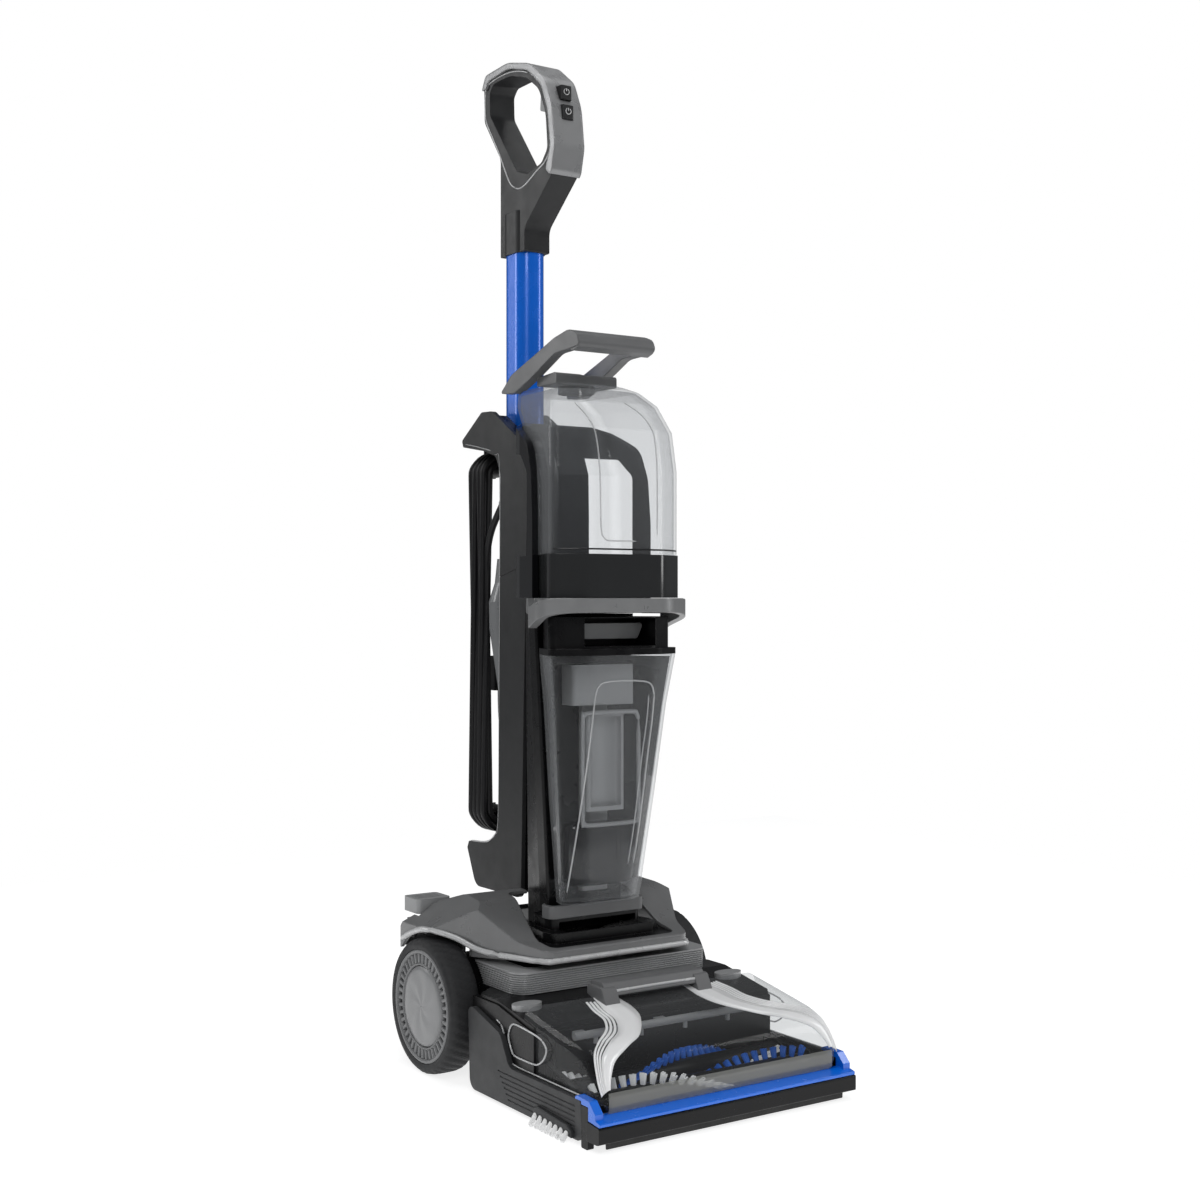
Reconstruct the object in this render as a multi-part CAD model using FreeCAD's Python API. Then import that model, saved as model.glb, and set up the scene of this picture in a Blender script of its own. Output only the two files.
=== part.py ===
import FreeCAD, Part
import math
import os

# Upright carpet washer, millimetres, +Z up, front towards -Y.
# While it is drawn, Y = 0 is the front face of the bumper and Y grows to the rear.
# save() moves everything so that the origin lies on the floor under the middle of the machine.

Vector = FreeCAD.Vector

# ---- driving dimensions -------------------------------------------------------------------
DEPTH = 490.0            # bumper face to the back of the cord plug
BUMPER_HALF = 159.0      # half the width of the floor nozzle
AXLE_Y = 332.0
AXLE_Z = 73.0
TYRE_RADIUS = 73.0
TYRE_INNER_X = 134.0
TYRE_OUTER_X = 170.0
AXLE_RADIUS = 6.0
RUNNING_GAP = 0.06       # radial play of a shaft in its hole
CLEARANCE = 0.4          # between bodies that slide past each other

ROLL_RADIUS = 24.0       # brush roll over the tuft tips
ROLL_CORE_RADIUS = 13.0
ROLL_Z = 28.5
ROLL_Y = (50.0, 101.0)
ROLL_HALF = 134.0
ROLL_PIN_RADIUS = 3.0

DECK_HALF_FRONT = 91.0
DECK_FRONT_Y = 198.0
FENDER_HALF = 162.0
FENDER_RADIUS = 81.0     # inside of the wheel arch, about the axle

SPINE_HALF = 38.0
SPINE_PLATE = 5.0
SPINE_FRONT_Y = 322.0

TUBE_Y = 394.0
TUBE_HALF_X = 18.0
TUBE_HALF_Y = 24.0
TUBE_WALL = 1.5
TUBE_BOTTOM_Z = 694.0
TUBE_TOP_Z = 958.0

TANK_WALL = 2.5
DIRTY_LID_TOP_Z = 496.0

GRIP_HALF = 17.0
COVER_HALF = 20.0

CORD_DIAMETER = 8.0
HANK_Y = (436.0, 474.0)
HANK_Z = (236.0, 692.0)
HANK_HALF = 33.0


# ---- drawing helpers ----------------------------------------------------------------------
def rounded_edges(points, radii):
    """Edges of a closed 2-D outline with an arc of the given radius at each corner."""
    count = len(points)
    starts, middles, ends = [], [], []
    for i in range(count):
        corner = Vector(points[i][0], points[i][1], 0)
        before = Vector(points[i - 1][0], points[i - 1][1], 0) - corner
        after = Vector(points[(i + 1) % count][0], points[(i + 1) % count][1], 0) - corner
        room = 0.48 * min(before.Length, after.Length)
        before.normalize()
        after.normalize()
        half = before.getAngle(after) / 2
        trim = min(radii[i] / math.tan(half), room)
        radius = trim * math.tan(half)
        bisector = before + after
        bisector.normalize()
        centre = corner + bisector * (radius / math.sin(half))
        starts.append(corner + before * trim)
        middles.append(centre - bisector * radius)
        ends.append(corner + after * trim)
    edges = []
    for i in range(count):
        edges.append(Part.Arc(starts[i], middles[i], ends[i]).toShape())
        edges.append(Part.LineSegment(ends[i], starts[(i + 1) % count]).toShape())
    return edges


def flat_wire(points, radius, z=0.0):
    """Rounded outline drawn in the XY plane at height z; radius is one value or one a corner."""
    radii = radius if isinstance(radius, (list, tuple)) else [radius] * len(points)
    wire = Part.Wire(rounded_edges(points, radii))
    wire.translate(Vector(0, 0, z))
    return wire


def plan_prism(points, radius, z0, z1):
    face = Part.Face(flat_wire(points, radius, z0))
    return face.extrude(Vector(0, 0, z1 - z0))


def side_prism(points, radius, x0, x1):
    """Outline given as (y, z) points, extruded from x0 to x1."""
    solid = Part.Face(flat_wire(points, radius)).extrude(Vector(0, 0, x1 - x0))
    solid.Placement = FreeCAD.Placement(Vector(x0, 0, 0), FreeCAD.Rotation(Vector(1, 1, 1), 120))
    return solid


def front_prism(points, radius, y0, y1):
    """Outline given as (x, z) points, extruded from y0 to y1."""
    solid = Part.Face(flat_wire(points, radius)).extrude(Vector(0, 0, y1 - y0))
    solid.Placement = FreeCAD.Placement(Vector(0, y1, 0), FreeCAD.Rotation(Vector(1, 0, 0), 90))
    return solid


def box(x0, x1, y0, y1, z0, z1):
    return Part.makeBox(x1 - x0, y1 - y0, z1 - z0, Vector(x0, y0, z0))


def rounded_box(x0, x1, y0, y1, z0, z1, radius):
    corners = [(x0, y0), (x1, y0), (x1, y1), (x0, y1)]
    return plan_prism(corners, radius, z0, z1)


def rod_x(x0, x1, y, z, radius):
    return Part.makeCylinder(radius, x1 - x0, Vector(x0, y, z), Vector(1, 0, 0))


def rod_y(x, y0, y1, z, radius):
    return Part.makeCylinder(radius, y1 - y0, Vector(x, y0, z), Vector(0, 1, 0))


def rod_z(x, y, z0, z1, radius):
    return Part.makeCylinder(radius, z1 - z0, Vector(x, y, z0), Vector(0, 0, 1))


def ring_x(x0, x1, y, z, outer, inner):
    return rod_x(x0, x1, y, z, outer).cut(rod_x(x0 - 1, x1 + 1, y, z, inner))


def mirrored(shape):
    return shape.mirror(Vector(0, 0, 0), Vector(1, 0, 0))


def fuse(shapes):
    solid = shapes[0]
    for shape in shapes[1:]:
        solid = solid.fuse(shape)
    return solid.removeSplitter()


def save(name, shape):
    placed = shape.copy()
    placed.translate(Vector(0, -DEPTH / 2, 0))
    if not placed.isValid():
        print("NOT VALID:", name)
    placed.exportStep("parts/" + name + ".step")
    bounds = placed.BoundBox
    print("%-24s solids %3d  volume %10.0f  x %7.1f %7.1f  y %7.1f %7.1f  z %7.1f %7.1f" % (
        name, len(placed.Solids), placed.Volume,
        bounds.XMin, bounds.XMax, bounds.YMin, bounds.YMax, bounds.ZMin, bounds.ZMax))


# ---- floor nozzle (base) ------------------------------------------------------------------
CHAMBER_HALF = 141.0
CHAMBER_Y = (24.0, 128.0)
BASE_BACK_Y = 250.0
BASE_TOP_Z = 99.0
BARREL_RADIUS = 52.0     # rear barrel of the base, about the axle
BUTTON_X = 130.0
BUTTON_Y = 176.0
BUTTON_HALF_X = 17.0
BUTTON_HALF_Y = 10.0


def button_pocket(grow):
    """Oval recess round a release button, with the round hole for its stem."""
    oval = Part.makeCylinder(1, 30)
    place = FreeCAD.Matrix(BUTTON_HALF_X + grow, 0, 0, -BUTTON_X,
                           0, BUTTON_HALF_Y + grow, 0, BUTTON_Y, 0, 0, 1, 88, 0, 0, 0, 1)
    return oval.transformGeometry(place).fuse(rod_z(-BUTTON_X, BUTTON_Y, 70, 90, 6 + grow))


def base_chassis():
    outline = [(22.2, 9), (22.2, 31), (30, 31), (30, 40), (128, 40), (128, 84), (200, BASE_TOP_Z),
               (BASE_BACK_Y, BASE_TOP_Z), (BASE_BACK_Y, 12), (240, 7), (30, 7)]
    block = side_prism(outline, [1.5] * 11, -151, 151)
    block = block.cut(box(-CHAMBER_HALF, CHAMBER_HALF, *CHAMBER_Y, -5, 60))
    block = block.cut(box(-138, 138, 134, 240, 14, 80))
    block = block.cut(box(-136, -125, 120, 140, 5, 72))
    barrel = rod_x(-126, 126, AXLE_Y, AXLE_Z, BARREL_RADIUS)
    neck = box(-126, 126, 240, AXLE_Y, 32, BASE_TOP_Z)
    rear = barrel.fuse(neck)
    rear = rear.cut(rod_x(-122, 122, AXLE_Y, AXLE_Z, BARREL_RADIUS - 4))
    rear = rear.cut(box(-122, 122, 252, 300, 36, 95))
    hub = rod_x(-126, 126, AXLE_Y, AXLE_Z, 14)
    body = block.fuse(rear).fuse(hub)
    body = body.cut(rod_x(-130, 130, AXLE_Y, AXLE_Z, AXLE_RADIUS))
    for y in ROLL_Y:
        body = body.cut(rod_x(-147, 147, y, ROLL_Z, ROLL_PIN_RADIUS + RUNNING_GAP))
    pocket = button_pocket(CLEARANCE)
    return body.cut(pocket).cut(mirrored(pocket)).removeSplitter()


def side_panel():
    """Left outer panel with shallow louvre grooves."""
    outline = [(32, 4), (246, 4), (250, 92), (184, 74), (166, 43), (34, 43)]
    panel = side_prism(outline, [8, 12, 8, 14, 14, 4], -157, -151)
    for i in range(6):
        z = 10 + 5 * i
        panel = panel.cut(box(-158, -156.2, 44, 168 + 4 * i, z, z + 1.6))
    return panel


def motor_cover():
    """Black cover over the brush motor, behind the clear nozzle cover."""
    outline = [(128.4, 84.4), (200, 99.4), (286, 99.4), (286, 103), (205, 103), (130, 90)]
    cover = side_prism(outline, 0.8, -149, 149)
    cover = cover.common(plan_prism([(-149, 120), (149, 120), (149, 238), (126, 256),
                                     (126, 310), (-126, 310), (-126, 256), (-149, 238)], 6, 50, 120))
    pocket = button_pocket(CLEARANCE)
    return cover.cut(pocket).cut(mirrored(pocket))


BAND_OUTLINE = [(-116, 202), (116, 202), (125, 216), (125, 296), (-125, 296), (-125, 216)]


def ribbed_band():
    outer = plan_prism(BAND_OUTLINE, [26, 26, 14, 4, 4, 14], 103.4, 126)
    for i in range(9):
        z = 104.6 + 2.3 * i
        slot = plan_prism([(-140, 180), (140, 180), (140, 300), (-140, 300)], 1, z, z + 0.9)
        inset = plan_prism([(-115, 203.2), (115, 203.2), (123.8, 217), (123.8, 297),
                            (-123.8, 297), (-123.8, 217)], [26, 26, 14, 4, 4, 14], z - 1, z + 2)
        outer = outer.cut(slot.cut(inset))
    inner = plan_prism([(-112, 207), (112, 207), (120, 219), (120, 300), (-120, 300), (-120, 219)],
                       [22, 22, 12, 2, 2, 12], 100, 123)
    lid_gap = plan_prism([(-100, 224), (100, 224), (100, 300), (-100, 300)], 8, 110, 130)
    band = outer.cut(inner).cut(lid_gap)
    return band.cut(rod_x(-130, 130, AXLE_Y, AXLE_Z, 66.0))


def front_bumper():
    """Bumper bar with a foot at each end that carries the front of the machine."""
    outline = [(0, 10), (0, 25), (22, 27), (22, 9), (4, 9)]
    bumper = side_prism(outline, 1.5, -BUMPER_HALF, BUMPER_HALF)
    ends = side_prism([(20, 0), (20, 40), (31.6, 40), (31.6, 0)], 2, -158, -151.3)
    return fuse([bumper, ends, mirrored(ends)])


def bumper_strip():
    """Blue strip along the top of the bumper with an upturned lug at each end."""
    strip = side_prism([(0.5, 25.6), (0.5, 29), (14, 32), (19.8, 32), (19.8, 27.6)], 0.8,
                       -BUMPER_HALF + 1, BUMPER_HALF - 1)
    lug = side_prism([(8, 29), (8, 36), (18, 46), (40, 47), (44, 43.4), (31.7, 43.4), (31.7, 40.5),
                      (19.8, 40.4), (19.8, 29)], 1, -BUMPER_HALF + 1, -149)
    return fuse([strip, lug, mirrored(lug)])


def squeegee():
    return side_prism([(6, 2.5), (8.2, 2.5), (8.6, 8.8), (5.6, 8.8)], 0.3, -146, 146)


def nozzle_shell(inset):
    """Solid under the clear cover; inset shrinks it for the inner surface."""
    drop = 2 if inset > 0 else 0
    outline = [(14 + inset, 32.4 - drop), (14 + inset, 50), (30 + inset, 80 - inset), (66, 92 - inset),
               (150 - inset, 106 - inset), (150 - inset, 96 - drop), (127.6 - inset, 92 - drop),
               (127.6 - inset, 40.4 - drop), (22, 40.4 - drop), (22, 32.4 - drop)]
    body = side_prism(outline, [0.5, 14, 22, 30, 3, 0.5, 0.5, 0.5, 0.5, 0.5], -148.5 + inset, 148.5 - inset)
    plan = plan_prism([(-138, 12 + inset), (138, 12 + inset), (148.5 - inset, 34), (148.5 - inset, 152),
                       (-148.5 + inset, 152), (-148.5 + inset, 34)], [16, 16, 20, 2, 2, 20], 20, 120)
    return body.common(plan)


def nozzle_cover():
    shell = nozzle_shell(0).cut(nozzle_shell(TANK_WALL))
    return shell.cut(box(-144, 144, 110, 160, 30, 90))


def nozzle_grip():
    """Dark arch at the back of the clear cover that the hand lifts it by."""
    bridge = side_prism([(128, 109), (136, 122), (158, 122), (158, 116), (142, 116), (136, 109)],
                        [1, 4, 4, 2, 2, 1], -64, 64)
    foot = side_prism([(122, 100), (132, 118), (158, 118), (158, 108.5), (140, 102)],
                      [1, 4, 3, 1, 1], -68, -50)
    return fuse([bridge, foot, mirrored(foot)]).cut(nozzle_shell(0))


def cover_trims():
    """White swept strips, one on each side of the clear cover."""
    outer = [(-68, 121), (-50, 121), (-56, 100), (-84, 66), (-122, 40), (-136, 20), (-144, 20),
             (-143, 42), (-118, 66), (-92, 96)]
    band = plan_prism(outer, [2, 2, 16, 22, 20, 3, 3, 12, 22, 22], 42, 125)
    skin = nozzle_shell(-1.4).cut(nozzle_shell(-0.1))
    trim = skin.common(band)
    solids = [s for s in trim.Solids if s.Volume > 60]
    return Part.makeCompound(solids + [mirrored(s) for s in solids])


MOTOR_Y = 190.0
MOTOR_Z = 50.0
BELT_X = (-133.5, -128.0)


def brush_motor():
    can = rod_x(-60, 40, MOTOR_Y, MOTOR_Z, 26)
    shaft = rod_x(-134, -60, MOTOR_Y, MOTOR_Z, 4)
    pulley = rod_x(-134.5, -127, MOTOR_Y, MOTOR_Z, ROLL_CORE_RADIUS)
    return fuse([can, shaft, pulley])


def belt_slug(radius):
    """Shape with round ends of the given radius about the motor shaft and the rear roll."""
    along = Vector(0, MOTOR_Y - ROLL_Y[1], MOTOR_Z - ROLL_Z)
    reach = along.Length
    across = Vector(0, -along.z, along.y) * (radius / reach)
    corners = [(ROLL_Y[1] + across.y, ROLL_Z + across.z), (MOTOR_Y + across.y, MOTOR_Z + across.z),
               (MOTOR_Y - across.y, MOTOR_Z - across.z), (ROLL_Y[1] - across.y, ROLL_Z - across.z)]
    ends = [rod_x(*BELT_X, ROLL_Y[1], ROLL_Z, radius), rod_x(*BELT_X, MOTOR_Y, MOTOR_Z, radius)]
    return fuse([side_prism(corners, 0.01, *BELT_X)] + ends)


def brush_belt():
    """Flat drive belt from the motor pulley to the rear roll."""
    return belt_slug(ROLL_CORE_RADIUS + 2.3).cut(belt_slug(ROLL_CORE_RADIUS + 0.3))


def spray_bar():
    bar = rod_x(-110, 110, 118, 78, 4)
    tips = [rod_z(x, 118, 68, 78, 2.5) for x in (-84, -28, 28, 84)]
    brackets = [box(x - 6, x + 6, 118, 128, 75, 81) for x in (-100, 0, 100)]
    return fuse([bar] + tips + brackets)


def release_button():
    """Left nozzle release button: an oval cap with a round stem."""
    cap = Part.makeCylinder(1, 10)
    place = FreeCAD.Matrix(BUTTON_HALF_X, 0, 0, -BUTTON_X, 0, BUTTON_HALF_Y, 0, BUTTON_Y,
                           0, 0, 1, 93, 0, 0, 0, 1)
    return fuse([cap.transformGeometry(place), rod_z(-BUTTON_X, BUTTON_Y, 78, 94, 6)])


def edge_brushes():
    """Side bristle strips: a holder and seven tufts that lean outwards, on each side."""
    solids = []
    holder = side_prism([(46, 3.5), (116, 9.5), (110, 17), (50, 13)], 2, -160.5, -157.1)
    solids += [holder, mirrored(holder)]
    for i in range(7):
        y = 54 + 9.4 * i
        root = Vector(-160.0, y, 9.5 + 0.5 * i)
        tip = Vector(-168.0, y - 5, 3.4)
        tuft = Part.makeCylinder(2.4, (tip - root).Length, root, tip - root)
        tuft = tuft.cut(box(-160.6, -150, 0, 200, -5, 60))
        solids += [tuft, mirrored(tuft)]
    return Part.makeCompound(solids)


# ---- brush rolls --------------------------------------------------------------------------
def roll_core(y):
    core = rod_x(-ROLL_HALF, ROLL_HALF, y, ROLL_Z, ROLL_CORE_RADIUS)
    pins = rod_x(-146, 146, y, ROLL_Z, ROLL_PIN_RADIUS)
    flanges = [rod_x(ROLL_HALF, ROLL_HALF + 3, y, ROLL_Z, 16), rod_x(-ROLL_HALF - 3, -ROLL_HALF, y, ROLL_Z, 16)]
    return fuse([core, pins] + flanges)


TUFT_COUNT = 26
TUFT_RADIUS = 3.4


def roll_tufts(y, hand):
    """Two helices of tufts, each tuft a short round peg standing on the core."""
    pegs = []
    span = 2 * ROLL_HALF - 22
    for start in (0, 180):
        for i in range(TUFT_COUNT):
            x = -span / 2 + span * i / (TUFT_COUNT - 1)
            angle = math.radians(start + hand * 250.0 * i / (TUFT_COUNT - 1) + 40)
            outward = Vector(0, math.cos(angle), math.sin(angle))
            root = Vector(x, y, ROLL_Z) + outward * (ROLL_CORE_RADIUS - 1)
            pegs.append(Part.makeCylinder(TUFT_RADIUS, ROLL_RADIUS - ROLL_CORE_RADIUS + 1, root, outward))
    core = rod_x(-ROLL_HALF, ROLL_HALF, y, ROLL_Z, ROLL_CORE_RADIUS)
    return Part.makeCompound([peg.cut(core) for peg in pegs])


# ---- wheels -------------------------------------------------------------------------------
def tyre():
    blank = ring_x(-TYRE_OUTER_X, -TYRE_INNER_X, AXLE_Y, AXLE_Z, TYRE_RADIUS, 61)
    rims = [e for e in blank.Edges if isinstance(e.Curve, Part.Circle) and e.Curve.Radius > 70]
    return blank.makeFillet(7, rims)


def wheel_rim():
    """Spoked rim: slotted ring, dished disc and a bore for the axle."""
    ring = ring_x(-TYRE_OUTER_X + 1, -TYRE_INNER_X - 1, AXLE_Y, AXLE_Z, 61, 56)
    web = ring_x(-TYRE_OUTER_X + 6, -TYRE_OUTER_X + 12, AXLE_Y, AXLE_Z, 57, 20)
    disc = rod_x(-TYRE_OUTER_X - 1, -TYRE_OUTER_X + 8, AXLE_Y, AXLE_Z, 44)
    boss = rod_x(-TYRE_OUTER_X + 6, -TYRE_INNER_X + 2, AXLE_Y, AXLE_Z, 16)
    rim = fuse([ring, web, disc, boss])
    return rim.cut(rod_x(-TYRE_OUTER_X + 8, -120, AXLE_Y, AXLE_Z, AXLE_RADIUS + RUNNING_GAP))


def wheel_axle():
    return rod_x(-TYRE_OUTER_X + 10, TYRE_OUTER_X - 10, AXLE_Y, AXLE_Z, AXLE_RADIUS)


# ---- upright: deck, spine and housings ----------------------------------------------------
CHEEK_X = (126.6, 130.4)
DECK_PLAN = [(-DECK_HALF_FRONT, DECK_FRONT_Y), (DECK_HALF_FRONT, DECK_FRONT_Y), (106, 240), (132, 292),
             (FENDER_HALF, 330), (FENDER_HALF, 398), (150, 405), (-150, 405),
             (-FENDER_HALF, 398), (-FENDER_HALF, 330), (-132, 292), (-106, 240)]
DECK_PLAN_RADII = [14, 14, 30, 40, 16, 8, 6, 6, 8, 16, 40, 30]
HOUSING_FRONT_Y = 264.5


def housing_loft(sections, front, back):
    """Loft through (height, front half, middle half, rear half) plans of the motor housing."""
    wires = []
    for z, first, middle, last in sections:
        plan = [(-first, front), (first, front), (middle, 284), (last, back), (-last, back), (-middle, 284)]
        wires.append(flat_wire(plan, [3, 3, 10, 3, 3, 10], z))
    return Part.makeLoft(wires, True, True)


def housing_block():
    """Outer shape of the motor housing, widening upwards with the dirty tank."""
    return housing_loft([(152, 47, 46, 40), (498.9, 66, 63, 43)], HOUSING_FRONT_Y, SPINE_FRONT_Y)


def deck_body(inset):
    """Saddle with a fender over each wheel; inset gives its inner surface."""
    lift = 12 * min(inset, 1)
    profile = [(198 + inset, 133 - lift), (198 + inset, 146 - inset), (238, 152 - inset),
               (292, 187 - inset), (332, 190 - inset), (368, 178 - inset), (405 - inset, 140 - inset),
               (405 - inset, 126 - lift)]
    solid = side_prism(profile, [1, 3, 40, 30, 30, 30, 10, 1], -FENDER_HALF + inset, FENDER_HALF - inset)
    plan = [(x - math.copysign(inset, x), y + (inset if y < 220 else 0)) for x, y in DECK_PLAN]
    solid = solid.common(plan_prism(plan, DECK_PLAN_RADII, 100, 200))
    slope = front_prism([(-175, 146 - inset), (-112, 191 - inset), (-112, 230), (-175, 230)], 0.5, 190, 420)
    return solid.cut(slope).cut(mirrored(slope))


def deck_hood():
    deck = deck_body(0).cut(deck_body(3.5))
    for side in (-1, 1):
        x0, x1 = sorted((side * CHEEK_X[0], side * CHEEK_X[1]))
        cheek = rod_x(x0, x1, AXLE_Y, AXLE_Z, 20).fuse(
            side_prism([(314, 73), (350, 73), (360, 176), (306, 176)], 1, x0, x1))
        deck = deck.fuse(cheek)
    deck = deck.cut(rod_x(CHEEK_X[1], 175, AXLE_Y, AXLE_Z, FENDER_RADIUS))
    deck = deck.cut(rod_x(-175, -CHEEK_X[1], AXLE_Y, AXLE_Z, FENDER_RADIUS))
    deck = deck.cut(plan_prism(POCKET_STEPS[0][0], 10, 120, 200))
    deck = deck.cut(box(-43.4, 43.4, 318, 386, 150, 200))
    deck = deck.cut(housing_block())
    deck = deck.cut(rod_x(-135, 135, AXLE_Y, AXLE_Z, AXLE_RADIUS + RUNNING_GAP))
    deck = deck.cut(box(PEDAL_X[0] - 1, PEDAL_X[1] + 1, 372, 396, 130, 200))
    lugs = [box(x, x + 4, 376, 392, 139, 159) for x in (PEDAL_X[0] - 5, PEDAL_X[1] + 1)]
    return fuse([deck] + lugs).cut(rod_x(-160, -100, PEDAL_PIVOT[0], PEDAL_PIVOT[1], 4 + RUNNING_GAP))


POCKET_STEPS = [
    ([(-80, 206), (80, 206), (82, 230), (70, 318), (-70, 318), (-82, 230)], 136, 147),
    ([(-68, 222), (68, 222), (70, 242), (60, 300), (-60, 300), (-70, 242)], 147, 158),
    ([(-57, 240), (57, 240), (59, 256), (54, 290), (-54, 290), (-59, 256)], 158, 170),
]


def tank_pocket():
    steps = [plan_prism(plan, 10, z0, z1) for plan, z0, z1 in POCKET_STEPS]
    block = fuse(steps)
    block = block.cut(box(-50, 50, 225, 316, 130, 166))
    return block.cut(housing_block())


def tray_rim():
    outer = plan_prism([(-61, 238), (61, 238), (63, 256), (56, 262), (-56, 262), (-63, 256)], 8, 170.2, 184)
    inner = plan_prism([(-56, 243), (56, 243), (58, 256), (52, 266), (-52, 266), (-58, 256)], 6, 173, 190)
    return outer.cut(inner)


C_PROFILE = [(324, 684), (405, 734), (430, 735), (477, 705), (474, 697), (425, 689), (397, 681), (386, 660),
             (389, 400), (391, 262), (398, 240), (416, 230), (460, 227), (464, 219), (444, 176),
             (340, 176), (334, 400)]
C_RADII = [14, 16, 10, 3, 2, 12, 12, 20, 200, 20, 14, 14, 2, 3, 16, 10, 300]


def spine_plate():
    """Left C-shaped side plate with a chamfered rim and a panel seam."""
    plate = side_prism(C_PROFILE, C_RADII, -SPINE_HALF, -SPINE_HALF + SPINE_PLATE)
    seam = side_prism([(320, 556.5), (400, 538.5), (400, 537.5), (320, 555.5)], 0.1,
                      -SPINE_HALF - 1, -SPINE_HALF + 0.8)
    return plate.cut(seam)


def tube_outline(grow):
    x, y = TUBE_HALF_X + grow, TUBE_HALF_Y + grow
    return [(-x, TUBE_Y - y), (x, TUBE_Y - y), (x, TUBE_Y + y), (-x, TUBE_Y + y)]


def tube_prism(grow, z0, z1):
    return plan_prism(tube_outline(grow), TUBE_HALF_X - 2 + grow, z0, z1)


def spine_core():
    """Housing between the two C plates, with the socket for the tube and the cord posts."""
    half = SPINE_HALF - SPINE_PLATE - 0.1
    core = side_prism([(327, 682), (405, 730), (430, 731), (470, 704), (468, 699), (424, 693), (394, 684),
                       (383, 662), (386, 400), (388, 262), (395, 238), (415, 226), (458, 223),
                       (441, 180), (343, 180), (337, 400)],
                      [12, 14, 8, 3, 2, 12, 12, 20, 200, 20, 14, 14, 2, 14, 8, 300], -half, half)
    core = core.cut(box(-half + 4, half - 4, 345, 379, 190, 640))
    core = core.cut(tube_prism(0.02, TUBE_BOTTOM_Z, 800))
    post = rod_y(0, 380, 470, 261, 7)
    lip = rounded_box(-8, 8, 474.4, 477.6, 238, 268, 1.4)
    core = core.fuse(post).fuse(rod_y(0, 468, 476, 261, 7)).fuse(lip)
    core = core.cut(rod_y(0, 362, 420, HOOK_Z, 5 + RUNNING_GAP))
    return core.removeSplitter()


def back_housing():
    """Black motor housing behind the dirty tank."""
    return housing_block().cut(housing_loft([(190, 42, 41, 35), (492, 60, 57, 38)], 268.5, 316))


def tank_cradle():
    """Black hoop behind the clean tank, open in a window on each side of its middle bar."""
    outer = plan_prism([(-84, 222), (84, 222), (70, 290), (64, 308), (46, SPINE_FRONT_Y - 0.5),
                        (-46, SPINE_FRONT_Y - 0.5), (-64, 308), (-70, 290)], [1, 1, 20, 8, 4, 4, 8, 20], 516, 716)
    wall = outer.cut(plan_prism(tank_plan(86, 182, 58, 288), TANK_RADII, 510, 720))
    wall = wall.cut(loft_tank([(560, 84, 184, 56, 286)] + CLEAN_SECTIONS[1:], -1))
    front = side_prism([(150, 500), (250, 500), (250, 600), (254, 650), (266, 684), (330, 717), (330, 760),
                        (150, 760)], [1, 1, 60, 40, 30, 1, 1, 1], -120, 120)
    wall = wall.cut(front)
    for side in (-1, 1):
        x0, x1 = sorted((side * 20, side * 120))
        wall = wall.cut(side_prism([(267, 562), (330, 562), (330, 677), (288, 674), (267, 654)],
                                   [1, 1, 1, 12, 12], x0, x1))
    return wall


def suction_motor():
    can = rod_z(0, 294, 350, 440, 20)
    fan = rod_z(0, 294, 441, 462, 21.5)
    return fuse([can, rod_z(0, 294, 440, 441, 5), fan])


def water_pump():
    return fuse([rounded_box(-20, 20, 278, 308, 262, 296, 5), rod_z(0, 293, 296, 320, 9)])


def water_heater():
    return fuse([rounded_box(-36, 36, 276, 302, 200, 236, 8), rod_z(-30, 289, 236, 250, 4),
                 rod_z(30, 289, 236, 250, 4)])


def rear_duct():
    """Air duct down the back of the spine: collar, flared body, seal and tapered lower half."""
    def section(z, half, depth):
        return flat_wire([(-half, 391.5), (half, 391.5), (half, 391.5 + depth), (-half, 391.5 + depth)],
                         min(half, depth) * 0.45, z)
    lower = Part.makeLoft([section(282, 16, 14), section(400, 26, 26), section(480, 34, 38)], True, True)
    upper = Part.makeLoft([section(480, 34, 38), section(512, 35, 38), section(534, 30, 31)], True, True)
    collar = Part.makeLoft([section(534, 30, 31), section(562, 28, 28)], True, True)
    return fuse([lower, upper, collar])


def collar_ring():
    """Silver collar that the clean tank stands on; its front swells past the tanks."""
    plan = [(-58, 182), (58, 182), (98, 206), (92, 236), (64, 286), (43, 321), (-43, 321), (-64, 286),
            (-92, 236), (-98, 206)]
    slab = plan_prism(plan, [40, 40, 16, 8, 20, 4, 4, 20, 8, 16], 484, 516)
    under = side_prism([(160, 470), (160, 503), (196, 499.5), (236, 484), (236, 470)],
                       [1, 1, 30, 4, 1], -120, 120)
    slab = slab.cut(under)
    room = plan_prism(tank_plan(87, 183, 66, 320), TANK_RADII, 470, 500)
    slab = slab.cut(room).cut(box(-120, 120, 236, 330, 470, 499))
    top = side_prism([(150, 516.5), (196, 516.5), (240, 505), (250, 530), (150, 530)], [1, 20, 10, 1, 1],
                     -120, 120)
    seat = plan_prism(tank_plan(88, 182, 62, 318), TANK_RADII, 490, 530)
    return slab.cut(top.cut(seat))


# ---- tanks --------------------------------------------------------------------------------
TANK_RADII = [30, 30, 10, 12, 12, 10]
CLEAN_SECTIONS = [(563, 84, 184, 56, 286), (655, 84, 184, 56, 288), (698, 81, 190, 56, 306),
                  (728, 70, 206, 54, 326), (744, 56, 226, 46, 338), (750, 46, 242, 38, 342)]
DIRTY_SECTIONS = [(186, 52, 220, 44, 258), (300, 65, 206, 52, 261), (400, 76, 195, 58, 262),
                  (455, 84, 186, 63, 263)]


def tank_plan(half, front, rear_half, rear):
    return [(-0.56 * half, front), (0.56 * half, front), (half, front + 0.24 * half),
            (rear_half, rear), (-rear_half, rear), (-half, front + 0.24 * half)]


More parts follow.
